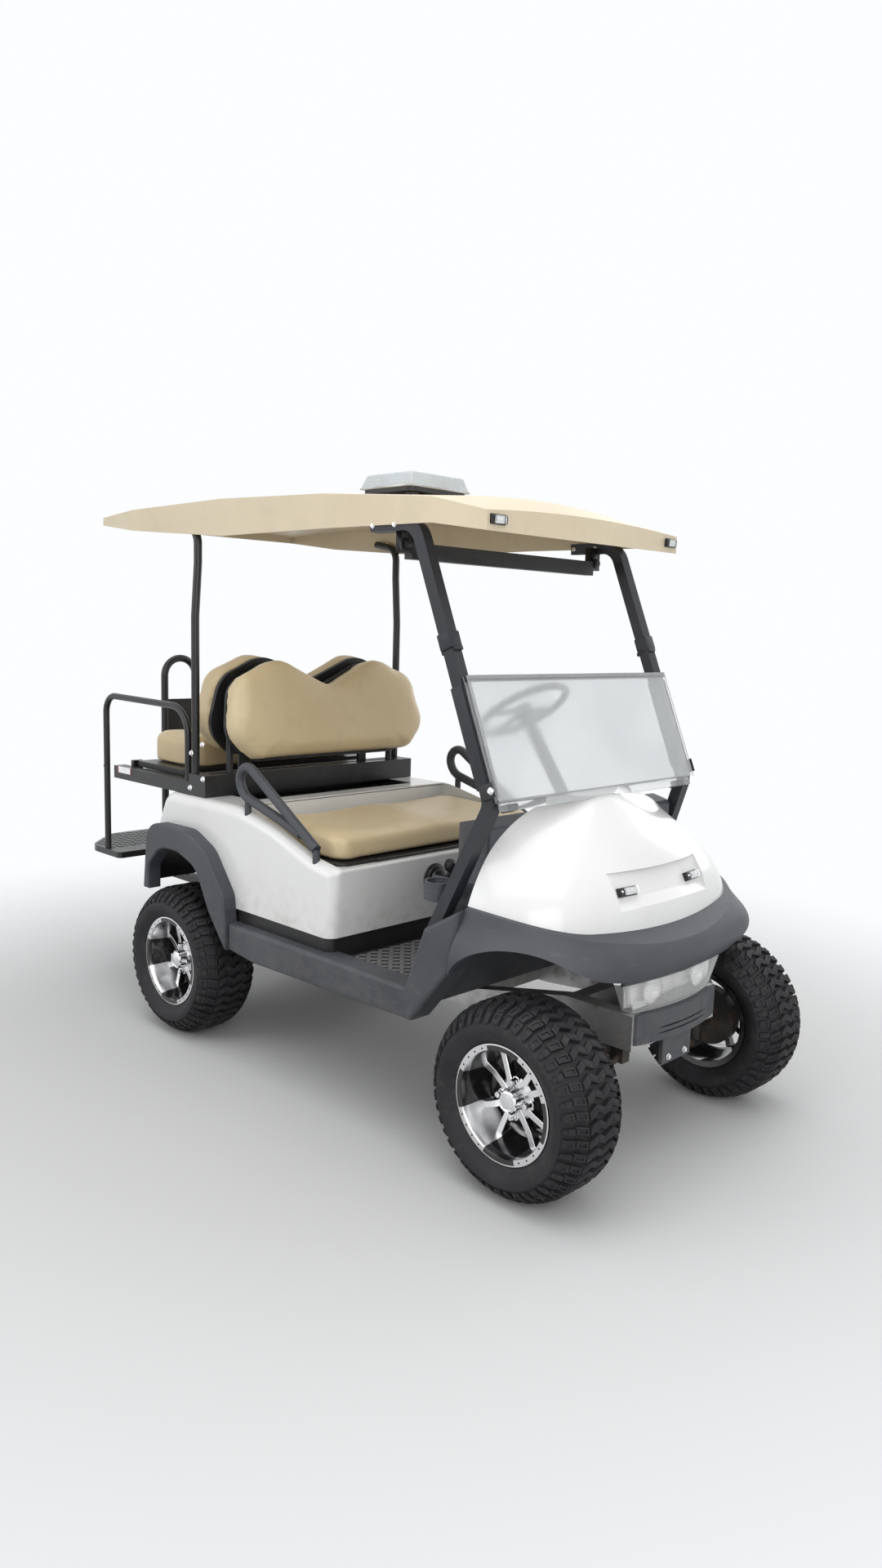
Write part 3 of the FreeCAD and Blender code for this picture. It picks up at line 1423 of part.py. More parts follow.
def make_flip_seat():
    z_low = S.flip_hinge_z - S.deck_thickness / 2
    z_high = S.flip_hinge_z + S.deck_thickness / 2
    front = flip_hinge + S.deck_depth
    deck = box((flip_hinge + 20, front), (-S.deck_half_width, S.deck_half_width), (z_low, z_high))
    hinge_half = S.deck_half_width - 38
    leaf = box((flip_hinge, flip_hinge + 24), (-hinge_half, hinge_half),
               (S.flip_hinge_z - 4, S.flip_hinge_z + 4))
    barrel = bar("y", flip_hinge, -S.deck_half_width + 8, S.flip_hinge_z,
                 2 * (S.deck_half_width - 8), S.hinge_radius)
    node("rear_deck", fuse([deck, leaf, barrel]))
    cushion = seat_pad((flip_hinge + 26, front - 2), S.rear_seat_half_width, (z_high + gap, 1100), 55, 34)
    node("rear_cushion", cushion)


def make_grab_bars():
    bars = []
    for _, side in SIDES:
        y = S.grab_bar_y * side
        points = [
            (aft(-616), y, S.step_top + gap), (aft(-616), y, S.grab_bar_top),
            (aft(-8), y, S.grab_bar_top - 10), (aft(-8), y, S.frame_top_z + gap),
        ]
        bars.append(solid(bent_tube(points, S.grab_bar_radius, [70, 110])))
    node("grab_bars", group(bars))


def make_step():
    back = aft(-S.rear_reach)
    front = aft(-S.step_front_back)
    half = S.step_half_width
    # Station, across and corner radius
    outline = [(front, -half, 20), (front, half, 20), (back + 170, half, 90), (back, half - 170, 90),
               (back, -half + 170, 90), (back + 170, -half, 90)]
    shape = rounded_slab(outline, "xy", S.step_top - 25, S.step_top)
    x_end = num(rail_rear) - num(gap)
    for _, side in SIDES:
        low, _ = span(side, S.rail_inner_y + 5, rail_outer_y - 5)
        arm = Part.makeBox(260, 40, 30, Vector(x_end - 260, num(low), 438))
        riser = Part.makeBox(60, 40, num(S.step_top) - 15 - 438, Vector(x_end - 260, num(low), 438))
        shape = shape.fuse(arm).fuse(riser)
    node("rear_step", solid(shape))


def make_hoop():
    radius = S.hoop_radius
    x = aft(-S.rear_reach) + radius
    half = S.hoop_half_width
    foot = S.step_top + gap
    top = S.hoop_top - radius
    points = [(x, -half, foot), (x, -half, top), (x, half, top), (x, half, foot)]
    hoop = bent_tube(points, radius, half - 1)
    panel = Part.makeBox(8, 2 * num(half) - 10, 190, Vector(num(x) - 4, -num(half) + 5, 1000))
    node("rear_hoop", solid(hoop.fuse(panel)))


def make_hip_rails():
    """Closed triangular loops of tube over the body's shoulders, on two feet each."""
    rails = []
    radius = S.hip_rail_radius
    for _, side in SIDES:
        y = S.hip_rail_y * side
        base = (aft(776), y, 822)
        apex = (aft(312), y, 1112)
        kink = (aft(370), y, 950)
        join = (aft(700), y, 860)
        loop = bent_tube([base, apex, kink, join], radius, [46, 70])
        for station, height in ((776, 822), (400, 942)):
            foot = Part.makeCylinder(12, 120, Vector(num(aft(station)), num(y), height - 120))
            loop = loop.fuse(foot)
        rails.append(cut(solid(loop), [lifted_body()]))
    node("hip_rails", group(rails))


def make_phone_mount():
    """A suction cup on the front wall of the seat body, with its ball arm."""
    height = 690
    rise = (height - body_bottom) / num(S.seat_ledge - body_bottom)
    lean = math.degrees(math.atan2(21, num(S.seat_ledge) - body_bottom))
    cup = Part.makeCone(38, 22, 18, Vector(0, 0, 0), Vector(1, 0, 0))
    neck = Part.makeCylinder(9, 34, Vector(12, 0, 0), Vector(1, 0, 0.4))
    mount = cup.fuse(neck).fuse(Part.makeSphere(20, Vector(50, 0, 18)))
    mount.rotate(Vector(0, 0, 0), Vector(0, 1, 0), lean)
    mount.translate(Vector(num(aft(871)) + 21 * rise + num(gap) + 0.2, -66, height))
    node("suction_mount", solid(mount))


make_chassis()
make_front_suspension()
for side_name, side_sign in SIDES:
    make_knuckle(side_name, side_sign)
    make_tie_rod(side_name, side_sign)
make_steering_rack()
tyre_form = make_tyre_form()
for side_name, side_sign in SIDES:
    make_rim(f"front_rim_{side_name}", fore(0), S.front_wheel_y, side_sign)
    make_rim(f"rear_rim_{side_name}", aft(0), S.rear_wheel_y, side_sign)
    make_tyre(f"front_tyre_{side_name}", fore(0), S.front_wheel_y, side_sign, tyre_form)
    make_tyre(f"rear_tyre_{side_name}", aft(0), S.rear_wheel_y, side_sign, tyre_form)
make_rear_axle()
make_leaf_springs()
make_battery_pack()
make_floor()
make_sills()
make_flares()
make_rear_body()
make_liners()
make_kick_panel()
make_front_cowl()
make_front_fascia()
make_headlight()
make_lower_bumper()
make_small_lamps()
make_dashboard()
make_front_struts()
make_rear_struts()
make_windscreen()
roof_outer = make_roof()
make_light_bar(roof_outer)
make_mirror()
make_steering_column()
make_steering_wheel()
make_pedals()
make_front_seat()
make_seatbacks()
make_seat_frame()
make_flip_seat()
make_grab_bars()
make_hip_rails()
make_step()
make_hoop()
make_phone_mount()

doc.recompute()
for obj in doc.Objects:
    if "Invalid" in obj.State or "Error" in obj.State:
        raise RuntimeError(f"{obj.Label} did not build: {obj.State}")
for obj in PARTS:
    if obj.Shape.isNull() or not obj.Shape.isValid():
        raise RuntimeError(f"{obj.Label} has no valid shape")
    obj.Shape.exportStep(f"parts/{obj.Label}.step")
print(len(PARTS), "sub-parts")
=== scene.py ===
from math import copysign, cos, degrees, exp, hypot, pi, radians, sin

import bmesh
import bpy
from mathutils import Matrix, Vector


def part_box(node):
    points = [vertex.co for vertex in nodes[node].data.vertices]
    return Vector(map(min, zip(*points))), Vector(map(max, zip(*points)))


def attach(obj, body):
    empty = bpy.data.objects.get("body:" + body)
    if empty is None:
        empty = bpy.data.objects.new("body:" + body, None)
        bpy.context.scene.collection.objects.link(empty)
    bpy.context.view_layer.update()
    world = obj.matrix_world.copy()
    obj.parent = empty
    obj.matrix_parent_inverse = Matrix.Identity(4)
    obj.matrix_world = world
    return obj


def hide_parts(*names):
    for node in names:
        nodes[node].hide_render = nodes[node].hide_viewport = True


# Four-seat golf cart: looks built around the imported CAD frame.
# Metres, +X forward, +Y the driver's left, +Z up, ground at zero.

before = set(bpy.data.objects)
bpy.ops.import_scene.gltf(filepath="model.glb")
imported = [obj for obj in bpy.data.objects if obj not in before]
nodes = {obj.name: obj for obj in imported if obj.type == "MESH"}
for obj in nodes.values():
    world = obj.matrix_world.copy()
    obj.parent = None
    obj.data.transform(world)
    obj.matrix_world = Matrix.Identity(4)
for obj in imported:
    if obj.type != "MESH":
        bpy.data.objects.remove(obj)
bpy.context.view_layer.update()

SIDES = (("right", -1), ("left", 1))


def centre_of(node):
    low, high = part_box(node)
    return (low + high) / 2


def radius_of(node):
    low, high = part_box(node)
    return (high.z - low.z) / 2


FRONT_AXLE = centre_of("front_tyre_right").x
REAR_AXLE = centre_of("rear_tyre_right").x
TYRE_RADIUS = radius_of("front_tyre_right")
RIM_RADIUS = radius_of("front_rim_right")
RIM_HALF = 0.100


def fore(distance):
    return FRONT_AXLE + distance


def aft(distance):
    return REAR_AXLE + distance


# Mesh helpers
WELD = 0.00005


def new_object(name, data):
    obj = bpy.data.objects.new(name, data)
    bpy.context.scene.collection.objects.link(obj)
    return obj


def give_look(obj, material):
    obj.data.materials.clear()
    obj.data.materials.append(material)


def shade(obj, limit):
    """Smooth shading, sharp where the surface turns by more degrees than the limit."""
    mesh = obj.data
    mesh.polygons.foreach_set("use_smooth", [True] * len(mesh.polygons))
    mesh.set_sharp_from_angle(angle=radians(limit))


def finish_piece(obj, smooth=30, replaced=(), body="chassis"):
    shade(obj, smooth)
    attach(obj, body)
    if replaced:
        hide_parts(*replaced)


def new_piece(name, verts, faces, material, smooth=30, replaced=(), body="chassis"):
    mesh = bpy.data.meshes.new(name)
    mesh.from_pydata(verts, [], faces)
    mesh.update()
    mesh.materials.append(material)
    obj = new_object(name, mesh)
    finish_piece(obj, smooth, replaced, body)
    return obj


def mesh_from(name, bm):
    mesh = bpy.data.meshes.new(name)
    bmesh.ops.recalc_face_normals(bm, faces=bm.faces)
    bm.to_mesh(mesh)
    bm.free()
    return mesh


def from_bmesh(name, bm, material, smooth=30, replaced=(), body="chassis"):
    """A piece from a bmesh, with one material or a list that the face indices choose from."""
    mesh = mesh_from(name, bm)
    for item in material if isinstance(material, list) else [material]:
        mesh.materials.append(item)
    finish_piece(new_object(name, mesh), smooth, replaced, body)


def mend_mesh(mesh, weld=0.0, outward=True):
    """Join vertices that lie together and turn the faces outward."""
    bm = bmesh.new()
    bm.from_mesh(mesh)
    if weld:
        bmesh.ops.remove_doubles(bm, verts=bm.verts, dist=weld)
    if outward:
        bmesh.ops.recalc_face_normals(bm, faces=bm.faces)
    bm.to_mesh(mesh)
    bm.free()


def evaluated_mesh(obj):
    depsgraph = bpy.context.evaluated_depsgraph_get()
    return bpy.data.meshes.new_from_object(obj.evaluated_get(depsgraph))


def run_modifier(obj, kind, **settings):
    modifier = obj.modifiers.new(kind, kind)
    for key, value in settings.items():
        setattr(modifier, key, value)
    mesh = evaluated_mesh(obj)
    obj.modifiers.remove(modifier)
    obj.data = mesh


def band(bm, a, b):
    """Faces between two rings of vertices."""
    faces = []
    for k in range(len(a)):
        n = (k + 1) % len(a)
        faces.append(bm.faces.new((a[k], a[n], b[n], b[k])))
    return faces


def add_block(bm, centre, size, bevel=0.002, turn=None, segments=2, index=0):
    """A block with rounded edges, turned about its centre."""
    verts = bmesh.ops.create_cube(bm, size=1.0)["verts"]
    matrix = Matrix.Translation(Vector(centre)) @ (turn.to_4x4() if turn else Matrix.Identity(4))
    matrix = matrix @ Matrix.Diagonal(Vector((*size, 1.0)))
    bmesh.ops.transform(bm, matrix=matrix, verts=verts)
    edges = list({e for v in verts for e in v.link_edges})
    result = bmesh.ops.bevel(bm, geom=edges, offset=bevel, segments=segments, affect="EDGES",
                             profile=0.6, clamp_overlap=True)
    for rounded in result["faces"]:
        for v in rounded.verts:
            for f in v.link_faces:
                f.material_index = index


def add_turned(bm, centre, axis, outline, segments=24, index=0, flute=None):
    """A turned form: outline rows are distance along the axis and radius."""
    axis = Vector(axis).normalized()
    side = axis.orthogonal().normalized()
    other = axis.cross(side)
    rings = []
    for along, radius in outline:
        ring = []
        for k in range(segments):
            angle = 2 * pi * k / segments
            r = radius * (flute(angle, along) if flute else 1.0)
            spot = Vector(centre) + axis * along + (side * cos(angle) + other * sin(angle)) * r
            ring.append(bm.verts.new(spot))
        rings.append(ring)
    faces = [face for a, b in zip(rings, rings[1:]) for face in band(bm, a, b)]
    faces += [bm.faces.new(list(reversed(rings[0]))), bm.faces.new(rings[-1])]
    for f in faces:
        f.material_index = index


def add_bolt(bm, centre, axis, radius=0.008, index=0):
    """A flanged hex bolt head standing along an axis."""
    washer = [(-0.0015, radius * 1.25), (0.0012, radius * 1.25), (0.002, radius * 1.1)]
    head = [(0.001, radius), (radius * 0.75, radius), (radius * 0.9, radius * 0.8)]
    add_turned(bm, centre, axis, washer, 20, index)
    add_turned(bm, centre, axis, head, 6, index)


def tube_along(name, points, radius, material):
    """A round bar that runs from point to point."""
    curve = bpy.data.curves.new(name, "CURVE")
    curve.dimensions = "3D"
    curve.bevel_depth = radius
    curve.bevel_resolution = 4
    spline = curve.splines.new("POLY")
    spline.points.add(len(points) - 1)
    for point, spot in zip(spline.points, points):
        point.co = (*spot, 1.0)
    source = new_object(name, curve)
    mesh = evaluated_mesh(source)
    bpy.data.objects.remove(source)
    obj = new_object(name, mesh)
    give_look(obj, material)
    finish_piece(obj, 60)


# Materials
# For each shader input: the Mix node's kind, its two input sockets and its output socket
MIX_SOCKETS = {"Base Color": ("RGBA", 6, 7, 2), "Roughness": ("FLOAT", 2, 3, 0)}


class Look:
    """A node material that is put together step by step."""

    def __init__(self, name, colour, roughness=0.5, metallic=0.0, coat=0.0, specular=0.5):
        self.material = bpy.data.materials.new(name)
        self.material.use_nodes = True
        self.tree = self.material.node_tree
        self.shader = self.tree.nodes["Principled BSDF"]
        self.set(Base_Color=(*colour, 1.0), Roughness=roughness, Metallic=metallic, Coat_Weight=coat,
                 Coat_Roughness=0.06, Specular_IOR_Level=specular)
        self.last = {}
        self.place = self.add("ShaderNodeTexCoord").outputs["Object"]

    def set(self, **values):
        for key, value in values.items():
            self.shader.inputs[key.replace("_", " ")].default_value = value
        return self

    def add(self, kind, values=None, **settings):
        """A node with its settings and the values of its inputs."""
        node = self.tree.nodes.new(kind)
        for key, value in settings.items():
            setattr(node, key, value)
        for key, value in (values or {}).items():
            node.inputs[key].default_value = value
        return node

    def link(self, source, target):
        self.tree.links.new(source, target)

    def placed(self, kind, values=None, **settings):
        """A texture node that is laid out in the object's own space."""
        node = self.add(kind, values, **settings)
        self.link(self.place, node.inputs["Vector"])
        return node

    def noise(self, scale, detail, stretch=None):
        texture = self.placed("ShaderNodeTexNoise", {"Scale": scale, "Detail": detail})
        if stretch:
            mapping = self.placed("ShaderNodeMapping", {"Scale": stretch})
            self.link(mapping.outputs["Vector"], texture.inputs["Vector"])
        return texture.outputs["Fac"]

    def ramp(self, value, low, high, flip=False):
        """Zero up to low and one from high on, or the other way round."""
        ends = {"From Min": low, "From Max": high, "To Min": float(flip), "To Max": float(not flip)}
        node = self.add("ShaderNodeMapRange", ends)
        self.link(value, node.inputs["Value"])
        return node.outputs["Result"]

    def times(self, a, b):
        node = self.add("ShaderNodeMath", operation="MULTIPLY")
        for socket, value in zip(node.inputs, (a, b)):
            if isinstance(value, float):
                socket.default_value = value
            else:
                self.link(value, socket)
        return node.outputs["Value"]

    def height(self):
        return self.placed("ShaderNodeSeparateXYZ").outputs["Z"]

    def blend(self, target, value, factor):
        """Lay a value over what a shader input has so far, where the factor is high."""
        kind, first, second, out = MIX_SOCKETS[target]
        node = self.add("ShaderNodeMix", {second: value}, data_type=kind)
        self.link(factor, node.inputs["Factor"])
        if target in self.last:
            self.link(self.last[target], node.inputs[first])
        else:
            node.inputs[first].default_value = self.shader.inputs[target].default_value
        self.last[target] = node.outputs[out]
        self.link(node.outputs[out], self.shader.inputs[target])

    def tint(self, colour, factor, roughness=None):
        """Lay a second colour over the first where the factor is high."""
        self.blend("Base Color", (*colour, 1.0), factor)
        if roughness is not None:
            self.blend("Roughness", roughness, factor)
        return self

    def wear(self, colour, noise, rise, share=1.0, roughness=None, below=None):
        """A colour in patches of noise, over this rise of it, perhaps only low down."""
        patches = self.ramp(self.noise(*noise), *rise)
        if below:
            patches = self.times(self.ramp(self.height(), *below, flip=True), patches)
        if share < 1:
            patches = self.times(patches, share)
        return self.tint(colour, patches, roughness)

    def bump(self, height, strength, distance):
        node = self.add("ShaderNodeBump", {"Strength": strength, "Distance": distance})
        self.link(height, node.inputs["Height"])
        if "Normal" in self.last:
            self.link(self.last["Normal"], node.inputs["Normal"])
        self.last["Normal"] = node.outputs["Normal"]
        self.link(node.outputs["Normal"], self.shader.inputs["Normal"])
        return self

    def skin(self, noise, strength, distance):
        """Fine unevenness from noise."""
        return self.bump(self.noise(*noise), strength, distance)

    def grain(self, scale, strength):
        """Pebbled moulding grain."""
        cells = self.placed("ShaderNodeTexVoronoi", {"Scale": scale, "Smoothness": 0.6}, feature="SMOOTH_F1")
        return self.bump(cells.outputs["Distance"], strength, 0.0006)

    def ribs(self, scale, strength, distance):
        """Fine upright ribs of a lamp's lens."""
        lines = self.placed("ShaderNodeTexWave", {"Scale": scale}, bands_direction="Y")
        return self.bump(lines.outputs["Fac"], strength, distance)


# Each wear row: colour, noise as scale and detail, its rise, share and then roughness
def make_white_body():
    look = Look("white_body_paint", (0.80, 0.80, 0.79), 0.30, coat=0.6)
    look.wear((0.74, 0.74, 0.72), (3.0, 4), (0.45, 0.75))
    look.wear((0.42, 0.39, 0.34), (26.0, 8), (0.45, 0.8), 0.5, 0.6, below=(0.52, 0.70))
    look.wear((0.55, 0.54, 0.50), (120.0, 2), (0.70, 0.78), 0.25)
    return look.skin((380.0, 2), 0.03, 0.0004).material


def make_roof():
    look = Look("roof_plastic", (0.70, 0.60, 0.43), 0.42, coat=0.1)
    look.wear((0.64, 0.54, 0.38), (2.2, 6), (0.4, 0.7))
    look.wear((0.45, 0.38, 0.26), (9.0, 9, (1.0, 3.0, 1.0)), (0.55, 0.8), 0.22, 0.6)
    return look.skin((240.0, 3), 0.08, 0.0005).material


def make_vinyl():
    look = Look("beige_vinyl", (0.66, 0.535, 0.325), 0.40, specular=0.45)
    look.wear((0.60, 0.47, 0.275), (2.6, 5), (0.40, 0.72))
    look.wear((0.47, 0.36, 0.22), (14.0, 9), (0.56, 0.80), 0.35, 0.5)
    look.wear((0.28, 0.21, 0.14), (95.0, 6), (0.62, 0.80), 0.18)
    cells = look.placed("ShaderNodeTexVoronoi", {"Scale": 420.0}, feature="DISTANCE_TO_EDGE")
    look.bump(look.ramp(cells.outputs["Distance"], 0.0, 0.20), 0.16, 0.0003)
    look.skin((60.0, 4), 0.07, 0.001)
    return look.set(Sheen_Weight=0.06, Sheen_Roughness=0.5).material


def make_dark_plastic():
    look = Look("dark_plastic", (0.040, 0.044, 0.054), 0.50, specular=0.55)
    look.wear((0.066, 0.071, 0.083), (3.5, 7), (0.42, 0.72), roughness=0.58)
    look.wear((0.14, 0.14, 0.14), (16.0, 10, (1.0, 1.0, 5.0)), (0.60, 0.78), 0.35, 0.7)
    look.wear((0.15, 0.135, 0.115), (30.0, 8), (0.4, 0.8), 0.5, 0.75, below=(0.38, 0.62))
    return look.grain(700.0, 0.30).material


def make_black_plastic():
    look = Look("black_plastic", (0.011, 0.011, 0.012), 0.42)
    look.wear((0.028, 0.028, 0.028), (18.0, 7), (0.5, 0.8), 0.6, 0.6)
    return look.grain(900.0, 0.22).material


def make_black_steel():
    look = Look("black_powder_coat", (0.012, 0.012, 0.013), 0.33)
    look.wear((0.035, 0.035, 0.036), (12.0, 8), (0.5, 0.8), 0.5, 0.45)
    look.wear((0.16, 0.09, 0.05), (70.0, 8), (0.71, 0.76), 0.6, 0.8)
    return look.skin((700.0, 3), 0.14, 0.0004).material


def make_strut_steel():
    look = Look("strut_satin_coat", (0.017, 0.018, 0.023), 0.45, specular=0.4)
    look.wear((0.034, 0.036, 0.043), (5.0, 8), (0.45, 0.75), roughness=0.52)
    look.wear((0.13, 0.13, 0.13), (60.0, 8, (1.0, 1.0, 6.0)), (0.66, 0.74), 0.4, 0.6)
    return look.skin((650.0, 3), 0.16, 0.0004).material


def make_rubber():
    look = Look("tyre_rubber", (0.012, 0.012, 0.014), 0.62, specular=0.4)
    look.wear((0.026, 0.026, 0.029), (9.0, 8), (0.42, 0.7), roughness=0.72)
    look.wear((0.11, 0.095, 0.075), (34.0, 10), (0.56, 0.80), 0.30, 0.9)
    return look.skin((420.0, 4), 0.25, 0.0007).material


def make_machined():
    look = Look("machined_aluminium", (0.80, 0.80, 0.81), 0.24, metallic=1.0)
    look.wear((0.66, 0.66, 0.66), (12.0, 4), (0.5, 0.8), 0.3, 0.34)
    return look.wear((0.30, 0.27, 0.23), (90.0, 8), (0.68, 0.84), 0.2, 0.5).material


def make_rim_black():
    look = Look("rim_black", (0.010, 0.010, 0.011), 0.16, coat=0.5)
    look.wear((0.07, 0.065, 0.055), (40.0, 9), (0.55, 0.8), 0.45, 0.5)
    return look.skin((500.0, 2), 0.03, 0.0003).material


def make_chrome():
    look = Look("chrome", (0.86, 0.86, 0.87), 0.08, metallic=1.0)
    return look.wear((0.5, 0.48, 0.45), (60.0, 8), (0.6, 0.8), 0.4, 0.3).material


def make_aluminium():
    look = Look("frame_aluminium", (0.56, 0.56, 0.56), 0.40, metallic=0.85)
    look.wear((0.34, 0.32, 0.29), (7.0, 9), (0.42, 0.72), roughness=0.6)
    look.wear((0.20, 0.15, 0.10), (22.0, 10), (0.55, 0.8), 0.6, 0.85)
    return look.skin((90.0, 6, (1.0, 8.0, 8.0)), 0.12, 0.0008).material


def make_dark_steel():
    look = Look("undercarriage_steel", (0.030, 0.029, 0.028), 0.55, metallic=0.3)
    look.wear((0.12, 0.055, 0.028), (24.0, 10), (0.50, 0.72), 0.7, 0.85)
    look.wear((0.13, 0.115, 0.095), (7.0, 9), (0.5, 0.75), 0.6, 0.9)
    return look.skin((160.0, 8), 0.3, 0.001).material


def make_mat():
    look = Look("floor_mat_rubber", (0.155, 0.155, 0.160), 0.68)
    look.wear((0.20, 0.185, 0.16), (8.0, 9), (0.42, 0.75), 0.6, 0.85)
    look.wear((0.07, 0.07, 0.07), (30.0, 8), (0.55, 0.8), 0.5)
    return look.skin((420.0, 4), 0.2, 0.0006).material


def make_battery():
    look = Look("battery_case", (0.045, 0.045, 0.05), 0.5)
    look.wear((0.12, 0.11, 0.10), (16.0, 9), (0.5, 0.8), 0.6, 0.8)
    return look.grain(500.0, 0.2).material


def make_acrylic():
    look = Look("hazed_acrylic", (0.93, 0.945, 0.95), 0.05)
    look.wear((0.86, 0.875, 0.88), (4.0, 8), (0.4, 0.7), 0.6, 0.16)
    look.skin((6.0, 3), 0.02, 0.002)
    return look.set(Transmission_Weight=0.80, IOR=1.30).material


def make_lens():
    look = Look("clear_lens", (0.93, 0.94, 0.94), 0.06)
    look.wear((0.80, 0.80, 0.76), (20.0, 8), (0.5, 0.8), 0.6, 0.2)
    return look.set(Transmission_Weight=0.85, IOR=1.35).material


def make_cover():
    look = Look("ribbed_cover", (0.97, 0.975, 0.97), 0.06, coat=0.5)
    look.wear((0.86, 0.85, 0.80), (16.0, 8), (0.55, 0.8), 0.4, 0.2)
    return look.set(Transmission_Weight=0.70, IOR=1.16).material


def make_bowl():
    look = Look("headlight_bowl", (0.94, 0.94, 0.92), 0.22, metallic=0.15)
    return look.wear((0.34, 0.17, 0.08), (34.0, 9), (0.64, 0.74), 0.6, 0.8).material


def make_frosted():
    look = Look("frosted_lens", (0.60, 0.65, 0.68), 0.24, coat=0.4)
    look.ribs(60.0, 0.25, 0.0012)
    look.wear((0.50, 0.52, 0.51), (14.0, 9), (0.45, 0.8), 0.6, 0.45)
    return look.set(Transmission_Weight=0.25, IOR=1.35).material


def make_red_lens():
    look = Look("red_lens", (0.42, 0.008, 0.010), 0.12, coat=0.5)
    look.ribs(90.0, 0.3, 0.001)
    look.wear((0.20, 0.01, 0.01), (30.0, 5), (0.5, 0.8))
    return look.set(Transmission_Weight=0.2).material


def make_reflector():
    look = Look("silver_reflector", (0.86, 0.87, 0.88), 0.16, metallic=0.9)
    look.skin((220.0, 2), 0.2, 0.0006)
    return look.wear((0.70, 0.70, 0.68), (30.0, 6), (0.5, 0.8)).material


WHITE = make_white_body()
ROOF = make_roof()
VINYL = make_vinyl()
PLASTIC = make_dark_plastic()
BLACK = make_black_plastic()
STEEL = make_black_steel()
STRUT = make_strut_steel()
RUBBER = make_rubber()
MACHINED = make_machined()
RIM_BLACK = make_rim_black()
CHROME = make_chrome()
ALUMINIUM = make_aluminium()
DARK_STEEL = make_dark_steel()
MAT = make_mat()
BATTERY = make_battery()
ACRYLIC = make_acrylic()
LENS = make_lens()
FROSTED = make_frosted()
COVER = make_cover()
BOWL = make_bowl()
RED = make_red_lens()
REFLECTOR = make_reflector()

NODE_LOOKS = (
    (WHITE, "rear_body front_cowl"),
    (ROOF, "roof"),
    (VINYL, "front_cushion front_seatback rear_seatback rear_cushion"),
    (PLASTIC, "floor_pan sills rear_flares front_fascia dashboard lower_bumper hip_rails"),
    (BLACK, "kick_panel bag_tray front_seat_board mirror seatback_shells light_bar_base steering_wheel "
            "suction_mount windscreen_hinge wheel_liners"),
    (STEEL, "rear_struts steering_column pedals seat_frame rear_deck grab_bars rear_step rear_hoop"),
    (STRUT, "front_struts"),
    (RUBBER, "front_tyre_right front_tyre_left rear_tyre_right rear_tyre_left floor_mat"),
    (MACHINED, "front_rim_right front_rim_left rear_rim_right rear_rim_left"),
    (ALUMINIUM, "chassis_frame"),
    (DARK_STEEL, "front_suspension knuckle_right knuckle_left tie_rod_right tie_rod_left steering_rack "
                 "rack_bar rear_axle leaf_springs"),
    (BATTERY, "battery_pack"),
    (ACRYLIC, "windscreen_lower windscreen_upper"),
    (LENS, "headlight_lens marker_lamps"),
    (FROSTED, "light_bar_lens"),
    (RED, "tail_lights"),
)
for material, names in NODE_LOOKS:
    for name in names.split():
        give_look(nodes[name], material)
        shade(nodes[name], 28)


# Tyres: carcass with zigzag tread rows and framed shoulder blocks
PITCHES = 44
LUG_DEPTH = 0.014
LUG_SPREAD = 0.0012
TREAD_FLAT = 0.040
SHOULDER = 0.080
TREAD_DROP = 0.046
CARCASS_STEPS = 96


def crown(across):
    """Radius over the lugs at a distance from the tyre's middle plane."""
    beyond = max(0.0, abs(across) - TREAD_FLAT) / SHOULDER
    return TYRE_RADIUS - 0.0005 - TREAD_DROP * beyond ** 2.2


class WheelMesh:
    """Vertices and faces around one wheel: along the tread, across it and outward."""

    def __init__(self, centre, side):
        self.centre = centre
        self.side = side
        self.verts = []
        self.faces = []

    def spot(self, angle, radius, across):
        x = self.centre.x + radius * cos(angle)
        z = self.centre.z + radius * sin(angle)
        self.verts.append((x, self.centre.y + self.side * across, z))
        return len(self.verts) - 1

    def lug(self, upper, lower, rise=0.0, depth=LUG_DEPTH):
        """A raised strip between two edges of (along, across) points."""
        loop = list(upper) + list(reversed(lower))
        mid_u = sum(p[0] for p in loop) / len(loop)
        mid_v = sum(p[1] for p in loop) / len(loop)
        top = [self.spot(u / TYRE_RADIUS, crown(v) + rise, v) for u, v in loop]
        base = []
        for u, v in loop:
            du = u - mid_u
            dv = v - mid_v
            reach = hypot(du, dv) or 1.0
            u += du / reach * LUG_SPREAD
            v += dv / reach * LUG_SPREAD
            base.append(self.spot(u / TYRE_RADIUS, crown(v) - depth, v))
        for k in range(len(upper) - 1):
            self.faces.append((top[k], top[k + 1], top[-2 - k], top[-1 - k]))
        for k in range(len(loop)):
            n = (k + 1) % len(loop)
            self.faces.append((top[k], base[k], base[n], top[n]))


def edge_points(start, end, count):
    return [(start[0] + (end[0] - start[0]) * k / count, start[1] + (end[1] - start[1]) * k / count)
            for k in range(count + 1)]


def block(wheel, u, v, slant=0.0, rise=0.0, depth=LUG_DEPTH):
    """A block between two stations along the tread and two across it."""
    low = edge_points((u[0], v[0]), (u[0] + slant, v[1]), 3)
    high = edge_points((u[1], v[0]), (u[1] + slant, v[1]), 3)
    wheel.lug(low, high, rise, depth)


def framed_block(wheel, u, v, slant):
    """A shoulder block with a raised rectangular rim around a sunk middle."""
    rim = 0.0042
    deep = 0.007
    step = copysign(rim, v[1] - v[0])
    lean = slant / (v[1] - v[0])
    shift = lean * (v[1] - v[0] - step)
    block(wheel, u, v, slant, rise=-rim)
    block(wheel, (u[0], u[0] + rim), v, slant, depth=deep)
    block(wheel, (u[1] - rim, u[1]), v, slant, depth=deep)
    block(wheel, u, (v[0], v[0] + step), lean * step, depth=deep)
    block(wheel, (u[0] + shift, u[1] + shift), (v[1] - step, v[1]), lean * step, depth=deep)


